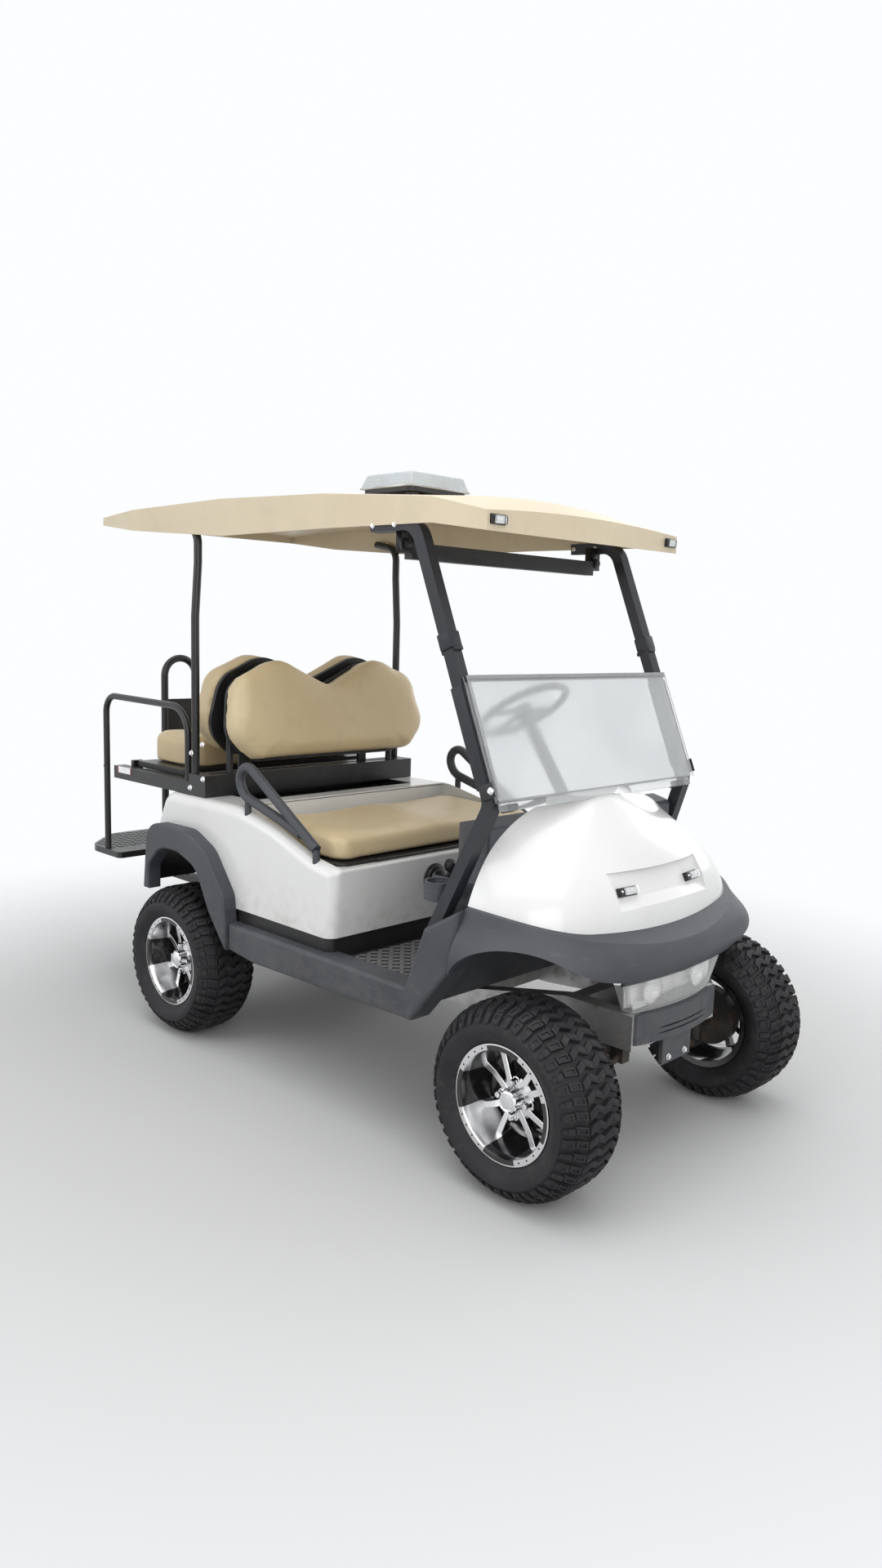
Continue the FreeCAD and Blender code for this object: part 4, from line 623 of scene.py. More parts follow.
def make_tyre(label, side):
    wheel = WheelMesh(centre_of(label), side)
    bead = RIM_RADIUS - 0.0137
    seat = RIM_HALF - 0.009
    profile = [(bead, seat), (RIM_RADIUS + 0.001, seat + 0.003), (RIM_RADIUS + 0.006, seat + 0.010),
               (RIM_RADIUS + 0.012, seat + 0.0135), (0.190, 0.1150), (0.206, 0.1235), (0.222, 0.1215)]
    # Bed under the lugs, from the shoulder to the middle
    steps = [0.1150, 0.107, 0.098, 0.086, 0.072, 0.055, 0.036, 0.018, 0.0]
    profile += [(crown(v) - LUG_DEPTH + 0.0015, v) for v in steps]
    profile += [(radius, -v) for radius, v in reversed(profile[:-1])]
    rings = []
    for k in range(CARCASS_STEPS):
        angle = 2 * pi * k / CARCASS_STEPS
        rings.append([wheel.spot(angle, radius, v) for radius, v in profile])
    for k in range(CARCASS_STEPS):
        a = rings[k]
        b = rings[(k + 1) % CARCASS_STEPS]
        for i in range(len(profile) - 1):
            wheel.faces.append((a[i], a[i + 1], b[i + 1], b[i]))
    pitch = 2 * pi * TYRE_RADIUS / PITCHES
    columns = [-0.0620, -0.0310, 0.0, 0.0310, 0.0620]
    swing = 0.015

    def along(start, near, far):
        return (start + pitch * near, start + pitch * far)

    for row in range(PITCHES):
        start = row * pitch
        # One zigzag row of four slanting blocks
        for i, (near, far) in enumerate(zip(columns, columns[1:])):
            lean = swing if i % 2 == 0 else -swing
            u = start + (0.0 if i % 2 == 0 else swing)
            block(wheel, (u, u + pitch * 0.50), (near + 0.0010, far - 0.0010), lean)
            block(wheel, (u + pitch * 0.18, u + pitch * 0.23), (near + 0.0060, far - 0.0060), lean * 0.62,
                  rise=0.0008, depth=0.002)
        for hand in (-1, 1):
            framed_block(wheel, along(start, 0.06, 0.60), (hand * 0.0670, hand * 0.0950), hand * 0.007)
            if row % 2:
                framed_block(wheel, along(start, 0.10, 0.72), (hand * 0.0985, hand * 0.1165), 0.0)
            else:
                block(wheel, along(start, 0.16, 0.60), (hand * 0.0985, hand * 0.1120), rise=-0.001)
            # Sidewall buttress under each shoulder block
            block(wheel, along(start, 0.20, 0.52), (hand * 0.1135, hand * 0.1190), rise=0.0005, depth=0.004)
    obj = new_piece(label + "_tread", wheel.verts, wheel.faces, RUBBER, 40, (label,),
                    label.replace("tyre", "wheel"))
    mend_mesh(obj.data)
    obj.data.set_sharp_from_angle(angle=radians(40))


# Rims: dished barrel with silver and black sectors, twin spokes, cap and nuts
SPOKE_TILT = 45
SEGMENTS = 96
NUT_RADIUS = 0.0508
SILVER = 0
DARK = 1
DRUM = 2
CAP = 3
BY_SECTOR = 4


def sector(k):
    """Silver in four sectors around the spoke pairs, black between them."""
    angle = (degrees(2 * pi * (k + 1) / SEGMENTS) - SPOKE_TILT) % 90
    return SILVER if angle < 23 or angle > 67 else DARK


def rim_profile():
    """Closed section of the barrel: radius, across, then the look of the band after it."""
    lip = RIM_HALF
    edge = RIM_RADIUS
    bead = RIM_RADIUS - 0.0145
    return [
        (edge, lip - 0.006, SILVER), (edge, lip - 0.0005, SILVER), (edge - 0.0015, lip, SILVER),
        (edge - 0.0040, lip - 0.0002, BY_SECTOR), (edge - 0.0170, lip - 0.0005, BY_SECTOR),
        (edge - 0.0185, lip - 0.0025, BY_SECTOR), (bead - 0.0085, lip - 0.022, BY_SECTOR),
        (bead - 0.0125, 0.040, BY_SECTOR), (bead - 0.024, 0.010, BY_SECTOR), (bead - 0.030, -0.004, DARK),
        (bead - 0.026, -0.020, DARK), (bead - 0.008, -0.050, DARK), (bead - 0.006, -lip + 0.004, DARK),
        (edge - 0.002, -lip, DARK), (edge, -lip + 0.006, DARK), (bead, -lip + 0.010, DARK),
        (bead - 0.001, -0.040, DARK), (bead - 0.015, -0.020, DARK), (bead - 0.015, 0.020, DARK),
        (bead, lip - 0.040, DARK), (bead, lip - 0.010, SILVER),
    ]


def flutes(angle, along):
    """Eight shallow flutes in the middle stretch of the cap."""
    return 1.0 - (0.09 * max(0.0, cos(8 * angle)) ** 2 if 0.040 < along < 0.070 else 0.0)


def make_rim(label, side):
    hub = centre_of(label.replace("rim", "tyre"))
    axis = (0, side, 0)
    bm = bmesh.new()

    def at(angle, radius, out, aside=0.0):
        """A point at a radius along an angle, beside that line, and out of the wheel."""
        c = cos(angle)
        s = sin(angle)
        return Vector((hub.x + radius * c - aside * s, hub.y + side * out, hub.z + radius * s + aside * c))

    profile = rim_profile()
    turns = [2 * pi * (k + 0.5) / SEGMENTS for k in range(SEGMENTS)]
    rings = [[bm.verts.new(at(turn, radius, across)) for turn in turns] for radius, across, _ in profile]
    for i, (_, _, kind) in enumerate(profile):
        for k, face in enumerate(band(bm, rings[i], rings[(i + 1) % len(profile)])):
            face.material_index = sector(k) if kind == BY_SECTOR else kind

    # Bevelled spokes from hub to barrel: along, across, half width, face height, depth
    stations = [(0.030, 0.0120, 0.0105, 0.040, 0.024), (0.060, 0.0180, 0.0098, 0.036, 0.022),
                (0.095, 0.0290, 0.0098, 0.031, 0.024), (0.125, 0.0415, 0.0105, 0.030, 0.028),
                (0.138, 0.0480, 0.0110, 0.030, 0.032)]
    bevel = 0.0015
    for quarter in range(4):
        mid = radians(SPOKE_TILT + 90 * quarter)
        for hand in (-1, 1):
            loops = []
            for along, across, half, face_y, deep in stations:
                y = hand * across
                corners = [(y - half, face_y - deep), (y - half, face_y - bevel), (y - half + bevel, face_y),
                           (y + half - bevel, face_y), (y + half, face_y - bevel), (y + half, face_y - deep)]
                loops.append([bm.verts.new(at(mid, along, out, cross)) for cross, out in corners])
            for a, b in zip(loops, loops[1:]):
                for k, face in enumerate(band(bm, a, b)):
                    face.material_index = DARK if k in (0, 4, 5) else SILVER

    # Centre boss that the spokes meet, and the drum behind it
    add_turned(bm, hub, axis, [(0.004, 0.062), (0.030, 0.060), (0.036, 0.052), (0.037, 0.036)], 48, SILVER)
    add_turned(bm, hub, axis, [(-0.055, 0.098), (-0.014, 0.098), (-0.010, 0.092), (0.002, 0.060)], 48, DRUM)
    # Dark rivets in the lip, four over each spoke pair
    for k in range(16):
        angle = radians(SPOKE_TILT + 90 * (k // 4) + (k % 4 - 1.5) * 11.5)
        add_turned(bm, at(angle, RIM_RADIUS - 0.0100, RIM_HALF - 0.001), axis,
                   [(0.0, 0.0031), (0.0012, 0.0029), (0.0016, 0.0014)], 10, DARK)
    # Lug nuts on their seats
    seat = [(0.030, 0.0125), (0.036, 0.0125), (0.0365, 0.0108)]
    nut = [(0.036, 0.0100), (0.054, 0.0096), (0.058, 0.0070), (0.059, 0.003)]
    for k in range(4):
        spot = at(radians(90 * k), NUT_RADIUS, 0.0)
        add_turned(bm, spot, axis, seat, 20, CAP)
        add_turned(bm, spot, axis, nut, 6, CAP)
    # Fluted cap with dark slots round it
    add_turned(bm, hub, axis,
               [(0.034, 0.0365), (0.041, 0.0365), (0.044, 0.0350), (0.056, 0.0338), (0.069, 0.0326),
                (0.0725, 0.0300), (0.0750, 0.0250), (0.0745, 0.0235), (0.0735, 0.0215), (0.0765, 0.0060)],
               64, CAP, flutes)
    for k in range(8):
        angle = radians(22.5 + 45 * k)
        turn = Matrix.Rotation(-angle, 3, "Y")
        add_block(bm, at(angle, 0.0335, 0.0560), (0.0030, 0.0250, 0.0085), 0.001, turn, 1, DARK)
    from_bmesh(label + "_face", bm, [MACHINED, RIM_BLACK, DARK_STEEL, CHROME], 35, (label,),
               label.replace("rim", "wheel"))


for end in ("front", "rear"):
    for side_name, side in SIDES:
        make_tyre(f"{end}_tyre_{side_name}", side)
        make_rim(f"{end}_rim_{side_name}", side)


# Cushions: the CAD pads swell as stuffed vinyl covers
CUSHION_VOXEL = 0.010
CLOTH_PRESSURE = 4.0
CLOTH_FRAMES = 20


def swell(obj, cap):
    """Blow a pad up as cloth, with no vertex moved further than the cap."""
    rest = [v.co.copy() for v in obj.data.vertices]
    cloth = obj.modifiers.new("Cloth", "CLOTH")
    cloth.settings.use_pressure = True
    cloth.settings.uniform_pressure_force = CLOTH_PRESSURE
    cloth.settings.effector_weights.gravity = 0
    cloth.settings.quality = 4
    cloth.collision_settings.use_collision = False
    cloth.point_cache.frame_end = CLOTH_FRAMES
    for moment in range(1, CLOTH_FRAMES + 1):
        bpy.context.scene.frame_set(moment)
    moved = [v.co.copy() for v in evaluated_mesh(obj).vertices]
    obj.modifiers.remove(cloth)
    for vert, start, end in zip(obj.data.vertices, rest, moved):
        step = end - start
        if step.length > cap:
            step = step.normalized() * cap
        vert.co = start + step
    bpy.context.scene.frame_set(1)


def cushion_from(node, name, shrink, cap, body="chassis", shape=None):
    """A cover from a CAD pad: rounded, drawn in by the shrink and swollen again up to the cap."""
    obj = new_object(name, nodes[node].data.copy())
    mend_mesh(obj.data, WELD)
    run_modifier(obj, "REMESH", mode="VOXEL", voxel_size=CUSHION_VOXEL)
    if shape:
        for vert in obj.data.vertices:
            vert.co = shape(vert.co.copy())
    run_modifier(obj, "SMOOTH", factor=0.5, iterations=6)
    normals = [v.normal.copy() for v in obj.data.vertices]
    for vert, normal in zip(obj.data.vertices, normals):
        vert.co -= normal * shrink
    swell(obj, cap)
    run_modifier(obj, "SMOOTH", factor=0.5, iterations=3)
    run_modifier(obj, "SUBSURF", levels=1, render_levels=1)
    give_look(obj, VINYL)
    finish_piece(obj, 180, (node,), body)


def bench_shape(node, dip):
    """Two seats sunk into the top of a bench cushion, with a ridge between them."""
    low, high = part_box(node)

    def shape(point):
        if point.z > (low.z + high.z) / 2:
            across = abs(point.y) / high.y
            along = (point.x - low.x) / (high.x - low.x)
            seat = exp(-((across - 0.48) / 0.30) ** 2) * sin(pi * min(1, max(0, along))) ** 0.6
            point.z -= dip * seat
            point.z += 0.004 * exp(-(across / 0.14) ** 2)
        return point
    return shape


cushion_from("front_cushion", "front_bench_cover", 0.006, 0.012, "front_seat",
             bench_shape("front_cushion", 0.012))
cushion_from("rear_cushion", "rear_bench_cover", 0.006, 0.012, "flip_seat",
             bench_shape("rear_cushion", 0.006))
cushion_from("front_seatback", "front_back_cover", 0.007, 0.013)
cushion_from("rear_seatback", "rear_back_cover", 0.007, 0.013)


# Small fittings that the photograph shows on the CAD forms
def paired(name, material, build, smooth=30):
    """One piece that holds the same form on the right and the left side."""
    bm = bmesh.new()
    for _, side in SIDES:
        build(bm, side)
    from_bmesh(name, bm, material, smooth)


STRUT_Y = 0.4846
STRUT_FACE = 0.0190
STRUT_OUT = STRUT_Y + STRUT_FACE
STRUT_LEAN = Matrix.Rotation(radians(-22.4), 3, "Y")
CHANNEL_Z = 1.243
RAIL_OUT = 0.5178
HOOP_FOOT = (-0.6285, 0.505)
STRIP_X = -0.452
STRIP_Z = 0.9430


def strut_spot(height):
    """Station of a front strut's upper leg at a height."""
    return fore(-0.171 - (height - 1.060) * 0.412)


def strut_collar(bm, side):
    y = side * STRUT_Y
    add_block(bm, (strut_spot(1.506), y, 1.506), (0.047, 0.047, 0.050), 0.004, STRUT_LEAN)
    lip = (strut_spot(1.484), side * (STRUT_Y - 0.003), 1.480)
    add_block(bm, lip, (0.056, 0.036, 0.012), 0.003, STRUT_LEAN)
    # Channel on the strut where the lower windscreen is held: outer plate and front strip
    plate = (strut_spot(CHANNEL_Z), side * (STRUT_OUT + 0.002), CHANNEL_Z)
    strip = (strut_spot(CHANNEL_Z) - 0.020, y, CHANNEL_Z - 0.008)
    add_block(bm, plate, (0.042, 0.0036, 0.300), 0.0015, STRUT_LEAN)
    add_block(bm, strip, (0.004, 0.044, 0.300), 0.0015, STRUT_LEAN)


def pivot_plate(bm, side):
    y = side * (STRUT_OUT + 0.0025)
    add_block(bm, (fore(-0.172), y, 1.100), (0.050, 0.004, 0.044), 0.003, STRUT_LEAN)
    add_block(bm, (fore(-0.160), side * 0.425, 1.048), (0.032, 0.046, 0.020), 0.004, STRUT_LEAN)


def chrome_bolts(bm, side):
    out = (0, side, 0)
    inward = (0, -side, 0)
    for station, height in ((0.108, 1.100), (0.036, 1.062), (0.026, 0.932), (0.111, 0.973)):
        add_bolt(bm, (aft(station), side * RAIL_OUT, height), out, 0.0085)
    for height, radius in ((0.943, 0.0085), (0.640, 0.0075)):
        add_bolt(bm, (aft(HOOP_FOOT[0]), side * HOOP_FOOT[1], height), (-1, 0, 0), radius)
    add_bolt(bm, (fore(-0.158), side * (STRUT_OUT + 0.0045), 1.104), out, 0.0085)
    for station in (-0.668, -0.574):
        add_bolt(bm, (fore(station), side * STRUT_OUT, 1.838), out, 0.0065)
        add_bolt(bm, (fore(station), side * (STRUT_Y - STRUT_FACE), 1.838), inward, 0.0065)
    for station in (-0.088, -0.028):
        add_bolt(bm, (aft(station), side * 0.4895, 1.890), inward, 0.0060)


def bumper_bolts(bm, side):
    add_bolt(bm, (fore(0.1623), side * 0.043, 0.314), (1, 0, 0), 0.0080)
    add_bolt(bm, (fore(0.1503), side * 0.196, 0.415), (1, 0, 0), 0.0065)


def reflector_strip(bm, side):
    add_block(bm, (aft(STRIP_X), side * (RAIL_OUT + 0.0010), STRIP_Z), (0.104, 0.0018, 0.025), 0.0006)


def reflector_ends(bm, side):
    for shift in (-0.049, 0.049):
        spot = (aft(STRIP_X + shift), side * (RAIL_OUT + 0.0016), STRIP_Z)
        add_block(bm, spot, (0.006, 0.0018, 0.0255), 0.0006)


paired("strut_collars", STRUT, strut_collar)
paired("windscreen_pivots", BLACK, pivot_plate)
paired("chrome_bolts", CHROME, chrome_bolts, 25)
paired("bumper_bolts", CHROME, bumper_bolts, 25)
paired("rail_reflectors", REFLECTOR, reflector_strip)
paired("reflector_ends", RED, reflector_ends)


# Windscreen: clear strip at its foot, dark seals under its two sheets
def windscreen_foot():
    bm = bmesh.new()
    add_block(bm, (fore(-0.1475), 0, 1.0570), (0.0050, 0.968, 0.0270), 0.0020, STRUT_LEAN)
    from_bmesh("windscreen_foot", bm, ACRYLIC)
    bm = bmesh.new()
    add_block(bm, (fore(-0.1520), 0, 1.0725), (0.0066, 0.980, 0.0034), 0.0010, STRUT_LEAN)
    add_block(bm, (fore(-0.2755), 0, 1.4020), (0.0050, 0.976, 0.0030), 0.0010, STRUT_LEAN)
    from_bmesh("windscreen_seal", bm, BLACK)


windscreen_foot()


# Lamps: dark base with an end block and a clear cap over small bulbs
HOOD_LAMP = (fore(0.0690), 0.1675, 0.8120)
ROOF_LAMP = (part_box("roof")[1].x + 0.0004, 0.427, 1.8430)
LAMP_PLATE = 0.005


def add_lamp(parts, spot, lean, turn, size, end_block):
    """One lamp; its own axes run outward, along it, and up the face that it lies on."""
    base, clear, bulbs = parts
    length, height, depth = size
    axes = Matrix.Rotation(radians(turn), 3, "Z") @ Matrix.Rotation(radians(lean), 3, "Y")

    def at(outward, along, up=0.0):
        return Vector(spot) + axes @ Vector((outward, along, up))

    def put(bm, outward, along, sides, bevel=0.0015):
        add_block(bm, at(outward, along), sides, bevel, axes)

    put(base, LAMP_PLATE / 2, 0, (LAMP_PLATE, length, height))
    if end_block:
        block_at = -length / 2 + 0.011
        middle = 0.011
        span = length - 0.024
        put(base, depth * 0.40, block_at, (depth * 0.75, 0.022, height * 0.94))
        add_bolt(base, at(depth * 0.76, block_at, 0.001), axes @ Vector((1, 0, 0)), 0.0032, 1)
    else:
        middle = 0.0
        span = length - 0.022
        for hand in (-1, 1):
            put(base, depth * 0.34, hand * (length / 2 - 0.006), (depth * 0.66, 0.012, height * 0.86), 0.004)
    rise = depth - LAMP_PLATE
    put(clear, LAMP_PLATE + rise / 2, middle, (rise, span, height * 0.80), 0.0025)
    put(bulbs, 0.0058, middle, (0.0014, span * 0.97, height * 0.76), 0.0004)
    for k in range(4):
        put(bulbs, 0.0075, middle + (k - 1.5) * span / 4.4, (0.0030, span / 7.0, height * 0.34), 0.0008)


def make_lamps():
    parts = [bmesh.new() for _ in range(3)]
    for (x, y, z), lean, turn, size, end_block in (
            (HOOD_LAMP, -25.4, 5.5, (0.080, 0.027, 0.017), True),
            (ROOF_LAMP, 4, 3, (0.062, 0.028, 0.018), False)):
        for _, side in SIDES:
            add_lamp(parts, (x, side * y, z), lean, side * turn, size, end_block)
    base, clear, bulbs = parts
    from_bmesh("lamp_bases", base, [BLACK, CHROME], 30, ("marker_lamps",))
    from_bmesh("lamp_caps", clear, LENS)
    from_bmesh("lamp_bulbs", bulbs, REFLECTOR)


make_lamps()


# Raised lozenges of the floor mat and the rear step
LOZENGE = [(-0.5, 0.0), (-0.3, 0.5), (0.3, 0.5), (0.5, 0.0), (0.3, -0.5), (-0.3, -0.5)]
STEP_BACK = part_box("rear_step")[0].x


def off_step(x, y):
    """Whether a point lies beyond the cut corners of the rear step."""
    corner = max(0.0, STEP_BACK + 0.170 - x) + max(0.0, abs(y) - 0.352)
    return corner > 0.150 or abs(y) > 0.500


def lozenges(node, name, material, margins, pitch, size, skip=None):
    """Lozenges on a node's top, leaning both ways; margins are behind, ahead and beside."""
    low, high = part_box(node)
    length, width, rise = size
    behind, ahead, beside = margins
    x = (low.x + behind, high.x - ahead)
    y = (low.y + beside, high.y - beside)
    z = high.z - 0.0002
    verts = []
    faces = []
    rows = int((x[1] - x[0]) / pitch)
    columns = int((y[1] - y[0]) / pitch)
    for i in range(rows):
        for j in range(columns):
            cx = x[0] + (i + 0.5) * (x[1] - x[0]) / rows
            cy = y[0] + (j + 0.5) * (y[1] - y[0]) / columns
            if skip and skip(cx, cy):
                continue
            angle = radians(45 if (i + j) % 2 else -45)
            ax = Vector((cos(angle), sin(angle)))
            ay = Vector((-ax.y, ax.x))
            start = len(verts)
            for scale, height in ((1.0, 0.0), (0.72, rise)):
                for u, v in LOZENGE:
                    spot = Vector((cx, cy)) + ax * (u * length * scale) + ay * (v * width * scale)
                    verts.append((spot.x, spot.y, z + height))
            for k in range(6):
                n = (k + 1) % 6
                faces.append((start + k, start + n, start + 6 + n, start + 6 + k))
            faces.append(tuple(range(start + 6, start + 12)))
    new_piece(name, verts, faces, material, 20)


lozenges("floor_mat", "mat_pattern", MAT, (0.012, 0.012, 0.012), 0.0250, (0.0320, 0.0140, 0.0026))
lozenges("rear_step", "step_pattern", STEEL, (0.020, 0.260, 0.020), 0.0300,
         (0.0360, 0.0140, 0.0022), off_step)


# Headlight: ribs in the clear cover, bowls and housing blocks behind it
RIB_LEVELS = 26
RIB_DEPTH = 0.0030


def lens_outline(share, push):
    """Plan of the cover at a height share, from its rear right to its rear left corner."""
    half = 0.206 + 0.044 * share
    front = 0.168 + 0.010 * share + push
    back = 0.102 - 0.006 * share
    chord = half - 0.004
    shoulder = front - 0.030
    points = [(back, -half), (back + (shoulder - back) * 0.5, -half + 0.002), (shoulder, -chord)]
    for k in range(1, 24):
        across = -chord + 2 * chord * k / 24
        points.append((front - 0.030 * (across / chord) ** 2, across))
    return points + [(x, -y) for x, y in reversed(points[:3])]


def make_headlight():
    low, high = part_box("headlight_lens")
    middle = (low.z + high.z) / 2
    verts = []
    for k in range(RIB_LEVELS + 1):
        share = k / RIB_LEVELS
        for x, y in lens_outline(share, -RIB_DEPTH if k % 2 else 0.0):
            verts.append((fore(x), y, low.z + (high.z - low.z) * share))
    count = len(lens_outline(0, 0))
    faces = [(a, a + 1, a + 1 + count, a + count)
             for k in range(RIB_LEVELS) for a in range(k * count, (k + 1) * count - 1)]
    new_piece("headlight_cover", verts, faces, COVER, 12, ("headlight_lens",))
    bm = bmesh.new()
    add_block(bm, (fore(0.1085), 0, middle + 0.001), (0.004, 0.410, 0.080), 0.001)
    bowl = [(0.0, 0.020), (0.010, 0.034), (0.026, 0.040), (0.027, 0.037), (0.012, 0.028), (0.003, 0.012)]
    for _, side in SIDES:
        add_turned(bm, (fore(0.114), side * 0.118, middle + 0.002), (1, 0, 0), bowl, 32)
        add_block(bm, (fore(0.118), side * 0.030, middle), (0.014, 0.050, 0.050), 0.006)
        add_block(bm, (fore(0.116), side * 0.186, middle + 0.004), (0.010, 0.030, 0.056), 0.004)
    from_bmesh("headlight_bowls", bm, BOWL)


make_headlight()


# Suction mount: rings of the cup, arm, ball and clamp
def make_suction_mount():
    low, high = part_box("suction_mount")
    x = low.x
    y = low.y + 0.012
    z = (low.z + high.z) / 2
    bm = bmesh.new()
    add_turned(bm, (x + 0.001, y, z), (1, 0, 0),
               [(0.0, 0.0480), (0.006, 0.0500), (0.010, 0.0480), (0.012, 0.0430), (0.019, 0.0400),
                (0.022, 0.0310), (0.030, 0.0280), (0.033, 0.0180)], 48)
    from_bmesh("suction_cup", bm, BLACK, 30, ("suction_mount",))
    arm = [(x + 0.024, y, z - 0.006), (x + 0.050, y + 0.008, z), (x + 0.060, y + 0.018, z + 0.016),
           (x + 0.058, y + 0.024, z + 0.036)]
    tube_along("suction_arm", arm, 0.0085, BLACK)
    bm = bmesh.new()
    ball = (x + 0.058, y + 0.026, z + 0.046)
    add_turned(bm, ball, (0.3, 0.35, 0.9),
               [(-0.022, 0.008), (-0.015, 0.0185), (0.0, 0.0240), (0.015, 0.0185), (0.022, 0.008)], 24)
    clamp = [(-0.005, 0.0250), (0.005, 0.0250), (0.015, 0.018), (0.018, 0.014)]
    add_turned(bm, ball, (0.9, 0.2, 0.35), clamp, 12)
    from_bmesh("suction_ball", bm, BLACK)


make_suction_mount()


# CAD forms with a stretch cut away, as the photograph shows them
def prism(plan, bottom, top):
    """An upright solid over a plan, between two heights."""
    bm = bmesh.new()
    rings = [[bm.verts.new((x, y, z)) for x, y in plan] for z in (bottom, top)]
    for ring in rings:
        bm.faces.new(ring)
    band(bm, *rings)
    return new_object("cutter", mesh_from("cutter", bm))


def cut_copy(node, name, prisms, material):
    """The node's own shape less some prisms: each a plan and its lower and upper height."""
    shell = new_object(name, nodes[node].data.copy())
    mend_mesh(shell.data, WELD, outward=False)
    for plan, bottom, top in prisms:
        cutter = prism(plan, bottom, top)
        run_modifier(shell, "BOOLEAN", operation="DIFFERENCE", object=cutter, solver="EXACT")
        bpy.data.objects.remove(cutter)
    give_look(shell, material)
    finish_piece(shell, 30, (node,))


# Slim mirror with its glass and the round end knobs
def make_mirror():
    low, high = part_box("mirror")
    foot = low.z + 0.040
    back = low.x - 0.02
    front = high.x + 0.02
    plan = [(back, -0.460), (front, -0.460), (front, 0.460), (back, 0.460)]
    cut_copy("mirror", "mirror_case", [(plan, low.z - 0.050, foot)], BLACK)
    bm = bmesh.new()
    add_block(bm, (low.x - 0.0008, 0, foot + 0.026), (0.0030, 0.872, 0.040), 0.0012)
    from_bmesh("mirror_glass", bm, CHROME)
    knob = [(0.0, 0.012), (0.004, 0.017), (0.020, 0.0175), (0.026, 0.014)]
    bm = bmesh.new()
    for _, side in SIDES:
        add_turned(bm, (fore(-0.567), side * 0.448, 1.785), (0, side, 0), knob, 20)
    from_bmesh("mirror_knobs", bm, BLACK)


make_mirror()


# Dash: its ends sweep forward beside the struts, over the cup holders
def make_dash():
    low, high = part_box("dashboard")
    inner = 0.280
    outer = 0.4515
    beyond = 0.620
    panel_foot = 0.7680
    cup_rim = 0.8150
    front = fore(-0.206)
    back = low.x - 0.060
    top = high.z + 0.050
    arc = [pi * k / 24 for k in range(13)]
    sweep = [(front - 0.230 * cos(a), inner + (outer - inner) * sin(a)) for a in arc]
    prisms = []
    for _, side in SIDES:
        for plan, foot in ((sweep + [(back, outer), (back, inner)], panel_foot),
                           ([(back, outer), (front, outer), (front, beyond), (back, beyond)], cup_rim)):
            prisms.append(([(x, side * y) for x, y in plan], foot, top))
    cut_copy("dashboard", "dash_shell", prisms, PLASTIC)


make_dash()


# Light bar: a frosted cap with slanting ends over an aluminium edge
def make_light_bar():
    low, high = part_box("light_bar_lens")
    middle = (low + high) / 2
    size = high - low
    bm = bmesh.new()
    for vert in bmesh.ops.create_cube(bm, size=1.0)["verts"]:
        top = vert.co.z > 0
        vert.co.x = middle.x + vert.co.x * size.x * (0.90 if top else 1.0)
        vert.co.y = middle.y + vert.co.y * size.y * (0.86 if top else 1.0)
        vert.co.z = high.z if top else low.z
    bmesh.ops.bevel(bm, geom=bm.edges[:], offset=0.007, segments=3, affect="EDGES", profile=0.6)
    from_bmesh("light_bar_cap", bm, FROSTED, 30, ("light_bar_lens",))
    bm = bmesh.new()
    add_block(bm, (middle.x, 0, low.z + 0.004), (size.x, size.y, 0.006), 0.002)
    from_bmesh("light_bar_edge", bm, ALUMINIUM)


make_light_bar()


# Camera at the photograph's place
CAMERA_SPOT = (2.939, -2.704, 1.540)
CAMERA_YAW = radians(134.425)
CAMERA_PITCH = radians(-8.131)
CAMERA_ROLL = radians(1.666)
FOCAL_PIXELS = 1328.119
PHOTO_HEIGHT = 1920
SENSOR = 36.0


def make_camera():
    ahead = Vector((cos(CAMERA_YAW) * cos(CAMERA_PITCH),
                    sin(CAMERA_YAW) * cos(CAMERA_PITCH), sin(CAMERA_PITCH)))
    level = ahead.cross(Vector((0, 0, 1))).normalized()
    above = level.cross(ahead)
    right = level * cos(CAMERA_ROLL) + above * sin(CAMERA_ROLL)
    up = above * cos(CAMERA_ROLL) - level * sin(CAMERA_ROLL)
    data = bpy.data.cameras.new("view")
    data.sensor_fit = "VERTICAL"
    data.sensor_height = SENSOR
    data.lens = FOCAL_PIXELS / PHOTO_HEIGHT * SENSOR
    camera = new_object("view", data)
    turn = Matrix((right, up, -ahead)).transposed().to_4x4()
    camera.matrix_world = Matrix.Translation(Vector(CAMERA_SPOT)) @ turn
    bpy.context.scene.camera = camera


def make_light(name, spot, aim, size, watts):
    data = bpy.data.lights.new(name, "AREA")
    data.shape = "RECTANGLE"
    data.size, data.size_y = size
    data.energy = watts
    lamp = new_object(name, data)
    lamp.location = spot
    lamp.rotation_euler = (Vector(aim) - Vector(spot)).to_track_quat("-Z", "Y").to_euler()


def seen_directly(tree):
    """One where the camera, a gloss or a clear sheet looks at a surface."""
    path = tree.nodes.new("ShaderNodeLightPath")
    total = path.outputs["Is Camera Ray"]
    for name in ("Is Glossy Ray", "Is Transmission Ray"):
        both = tree.nodes.new("ShaderNodeMath")
        both.operation = "MAXIMUM"
        tree.links.new(total, both.inputs[0])
        tree.links.new(path.outputs[name], both.inputs[1])
        total = both.outputs["Value"]
    return total


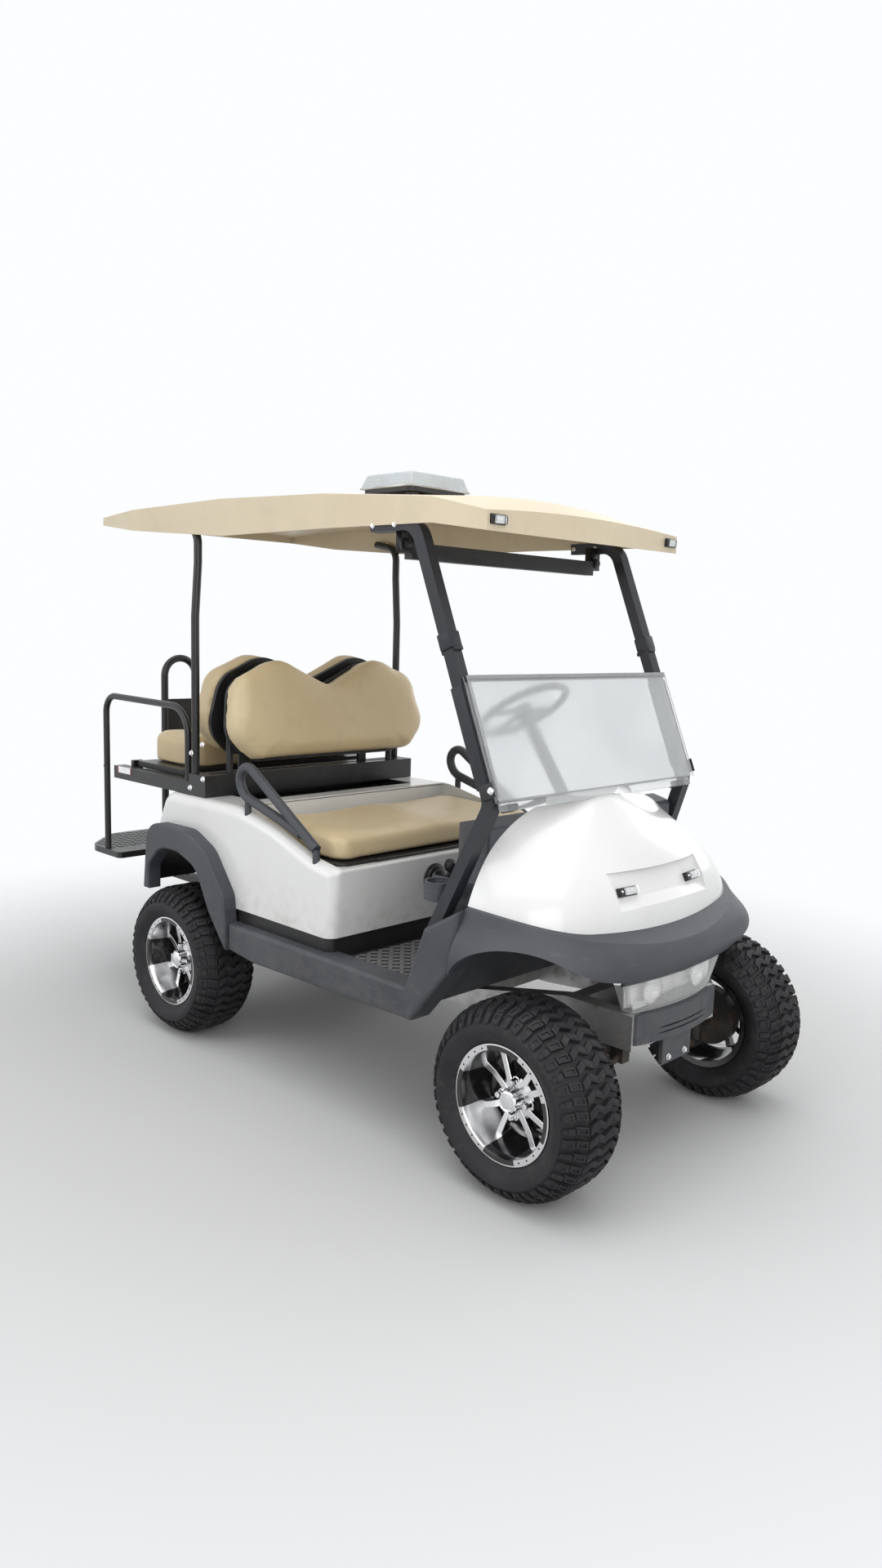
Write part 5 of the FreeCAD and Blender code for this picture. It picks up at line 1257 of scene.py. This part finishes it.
WORLD_STRENGTH = 0.64
BACKDROP = (0.97, 0.985, 1.0, 1.0)
FLOOR_SHADE = (0.62, 0.62, 0.62)
FLOOR_FADE = (1.3, 3.6)


def make_world():
    world = bpy.data.worlds.new("studio")
    bpy.context.scene.world = world
    world.use_nodes = True
    tree = world.node_tree
    background = tree.nodes["Background"]
    background.inputs["Color"].default_value = BACKDROP
    strength = tree.nodes.new("ShaderNodeMapRange")
    strength.inputs["To Min"].default_value = WORLD_STRENGTH
    strength.inputs["To Max"].default_value = 1.0
    tree.links.new(seen_directly(tree), strength.inputs["Value"])
    tree.links.new(strength.outputs["Result"], background.inputs["Strength"])


def make_floor():
    """Pale floor whose far part is as white as the backdrop where it is seen directly."""
    bpy.ops.mesh.primitive_plane_add(size=60)
    floor = bpy.context.object
    floor.name = "studio_floor"
    look = Look("studio_floor", FLOOR_SHADE, 0.9, specular=0.1)
    reach = look.add("ShaderNodeVectorMath", operation="LENGTH")
    look.link(look.place, reach.inputs[0])
    fade = look.ramp(reach.outputs["Value"], *FLOOR_FADE)
    fade.node.interpolation_type = "SMOOTHSTEP"
    glow = look.add("ShaderNodeEmission", {"Color": BACKDROP})
    mix = look.add("ShaderNodeMixShader")
    look.link(look.times(fade, seen_directly(look.tree)), mix.inputs["Fac"])
    look.link(look.shader.outputs["BSDF"], mix.inputs[1])
    look.link(glow.outputs["Emission"], mix.inputs[2])
    look.link(mix.outputs["Shader"], look.tree.nodes["Material Output"].inputs["Surface"])
    floor.data.materials.append(look.material)


make_camera()
make_world()
make_floor()
make_light("sky_panel", (0.6, -0.6, 4.6), (0, 0, 0), (5.0, 5.0), 112)
make_light("front_panel", (4.4, -2.6, 2.8), (0.3, 0, 0.8), (3.0, 2.5), 60)
make_light("side_panel", (-2.4, -4.6, 2.6), (-0.2, 0, 0.8), (3.5, 2.5), 36)
make_light("far_panel", (0.0, 4.6, 2.6), (0, 0, 0.8), (4.0, 2.5), 44)

bpy.context.scene.view_settings.view_transform = "Standard"
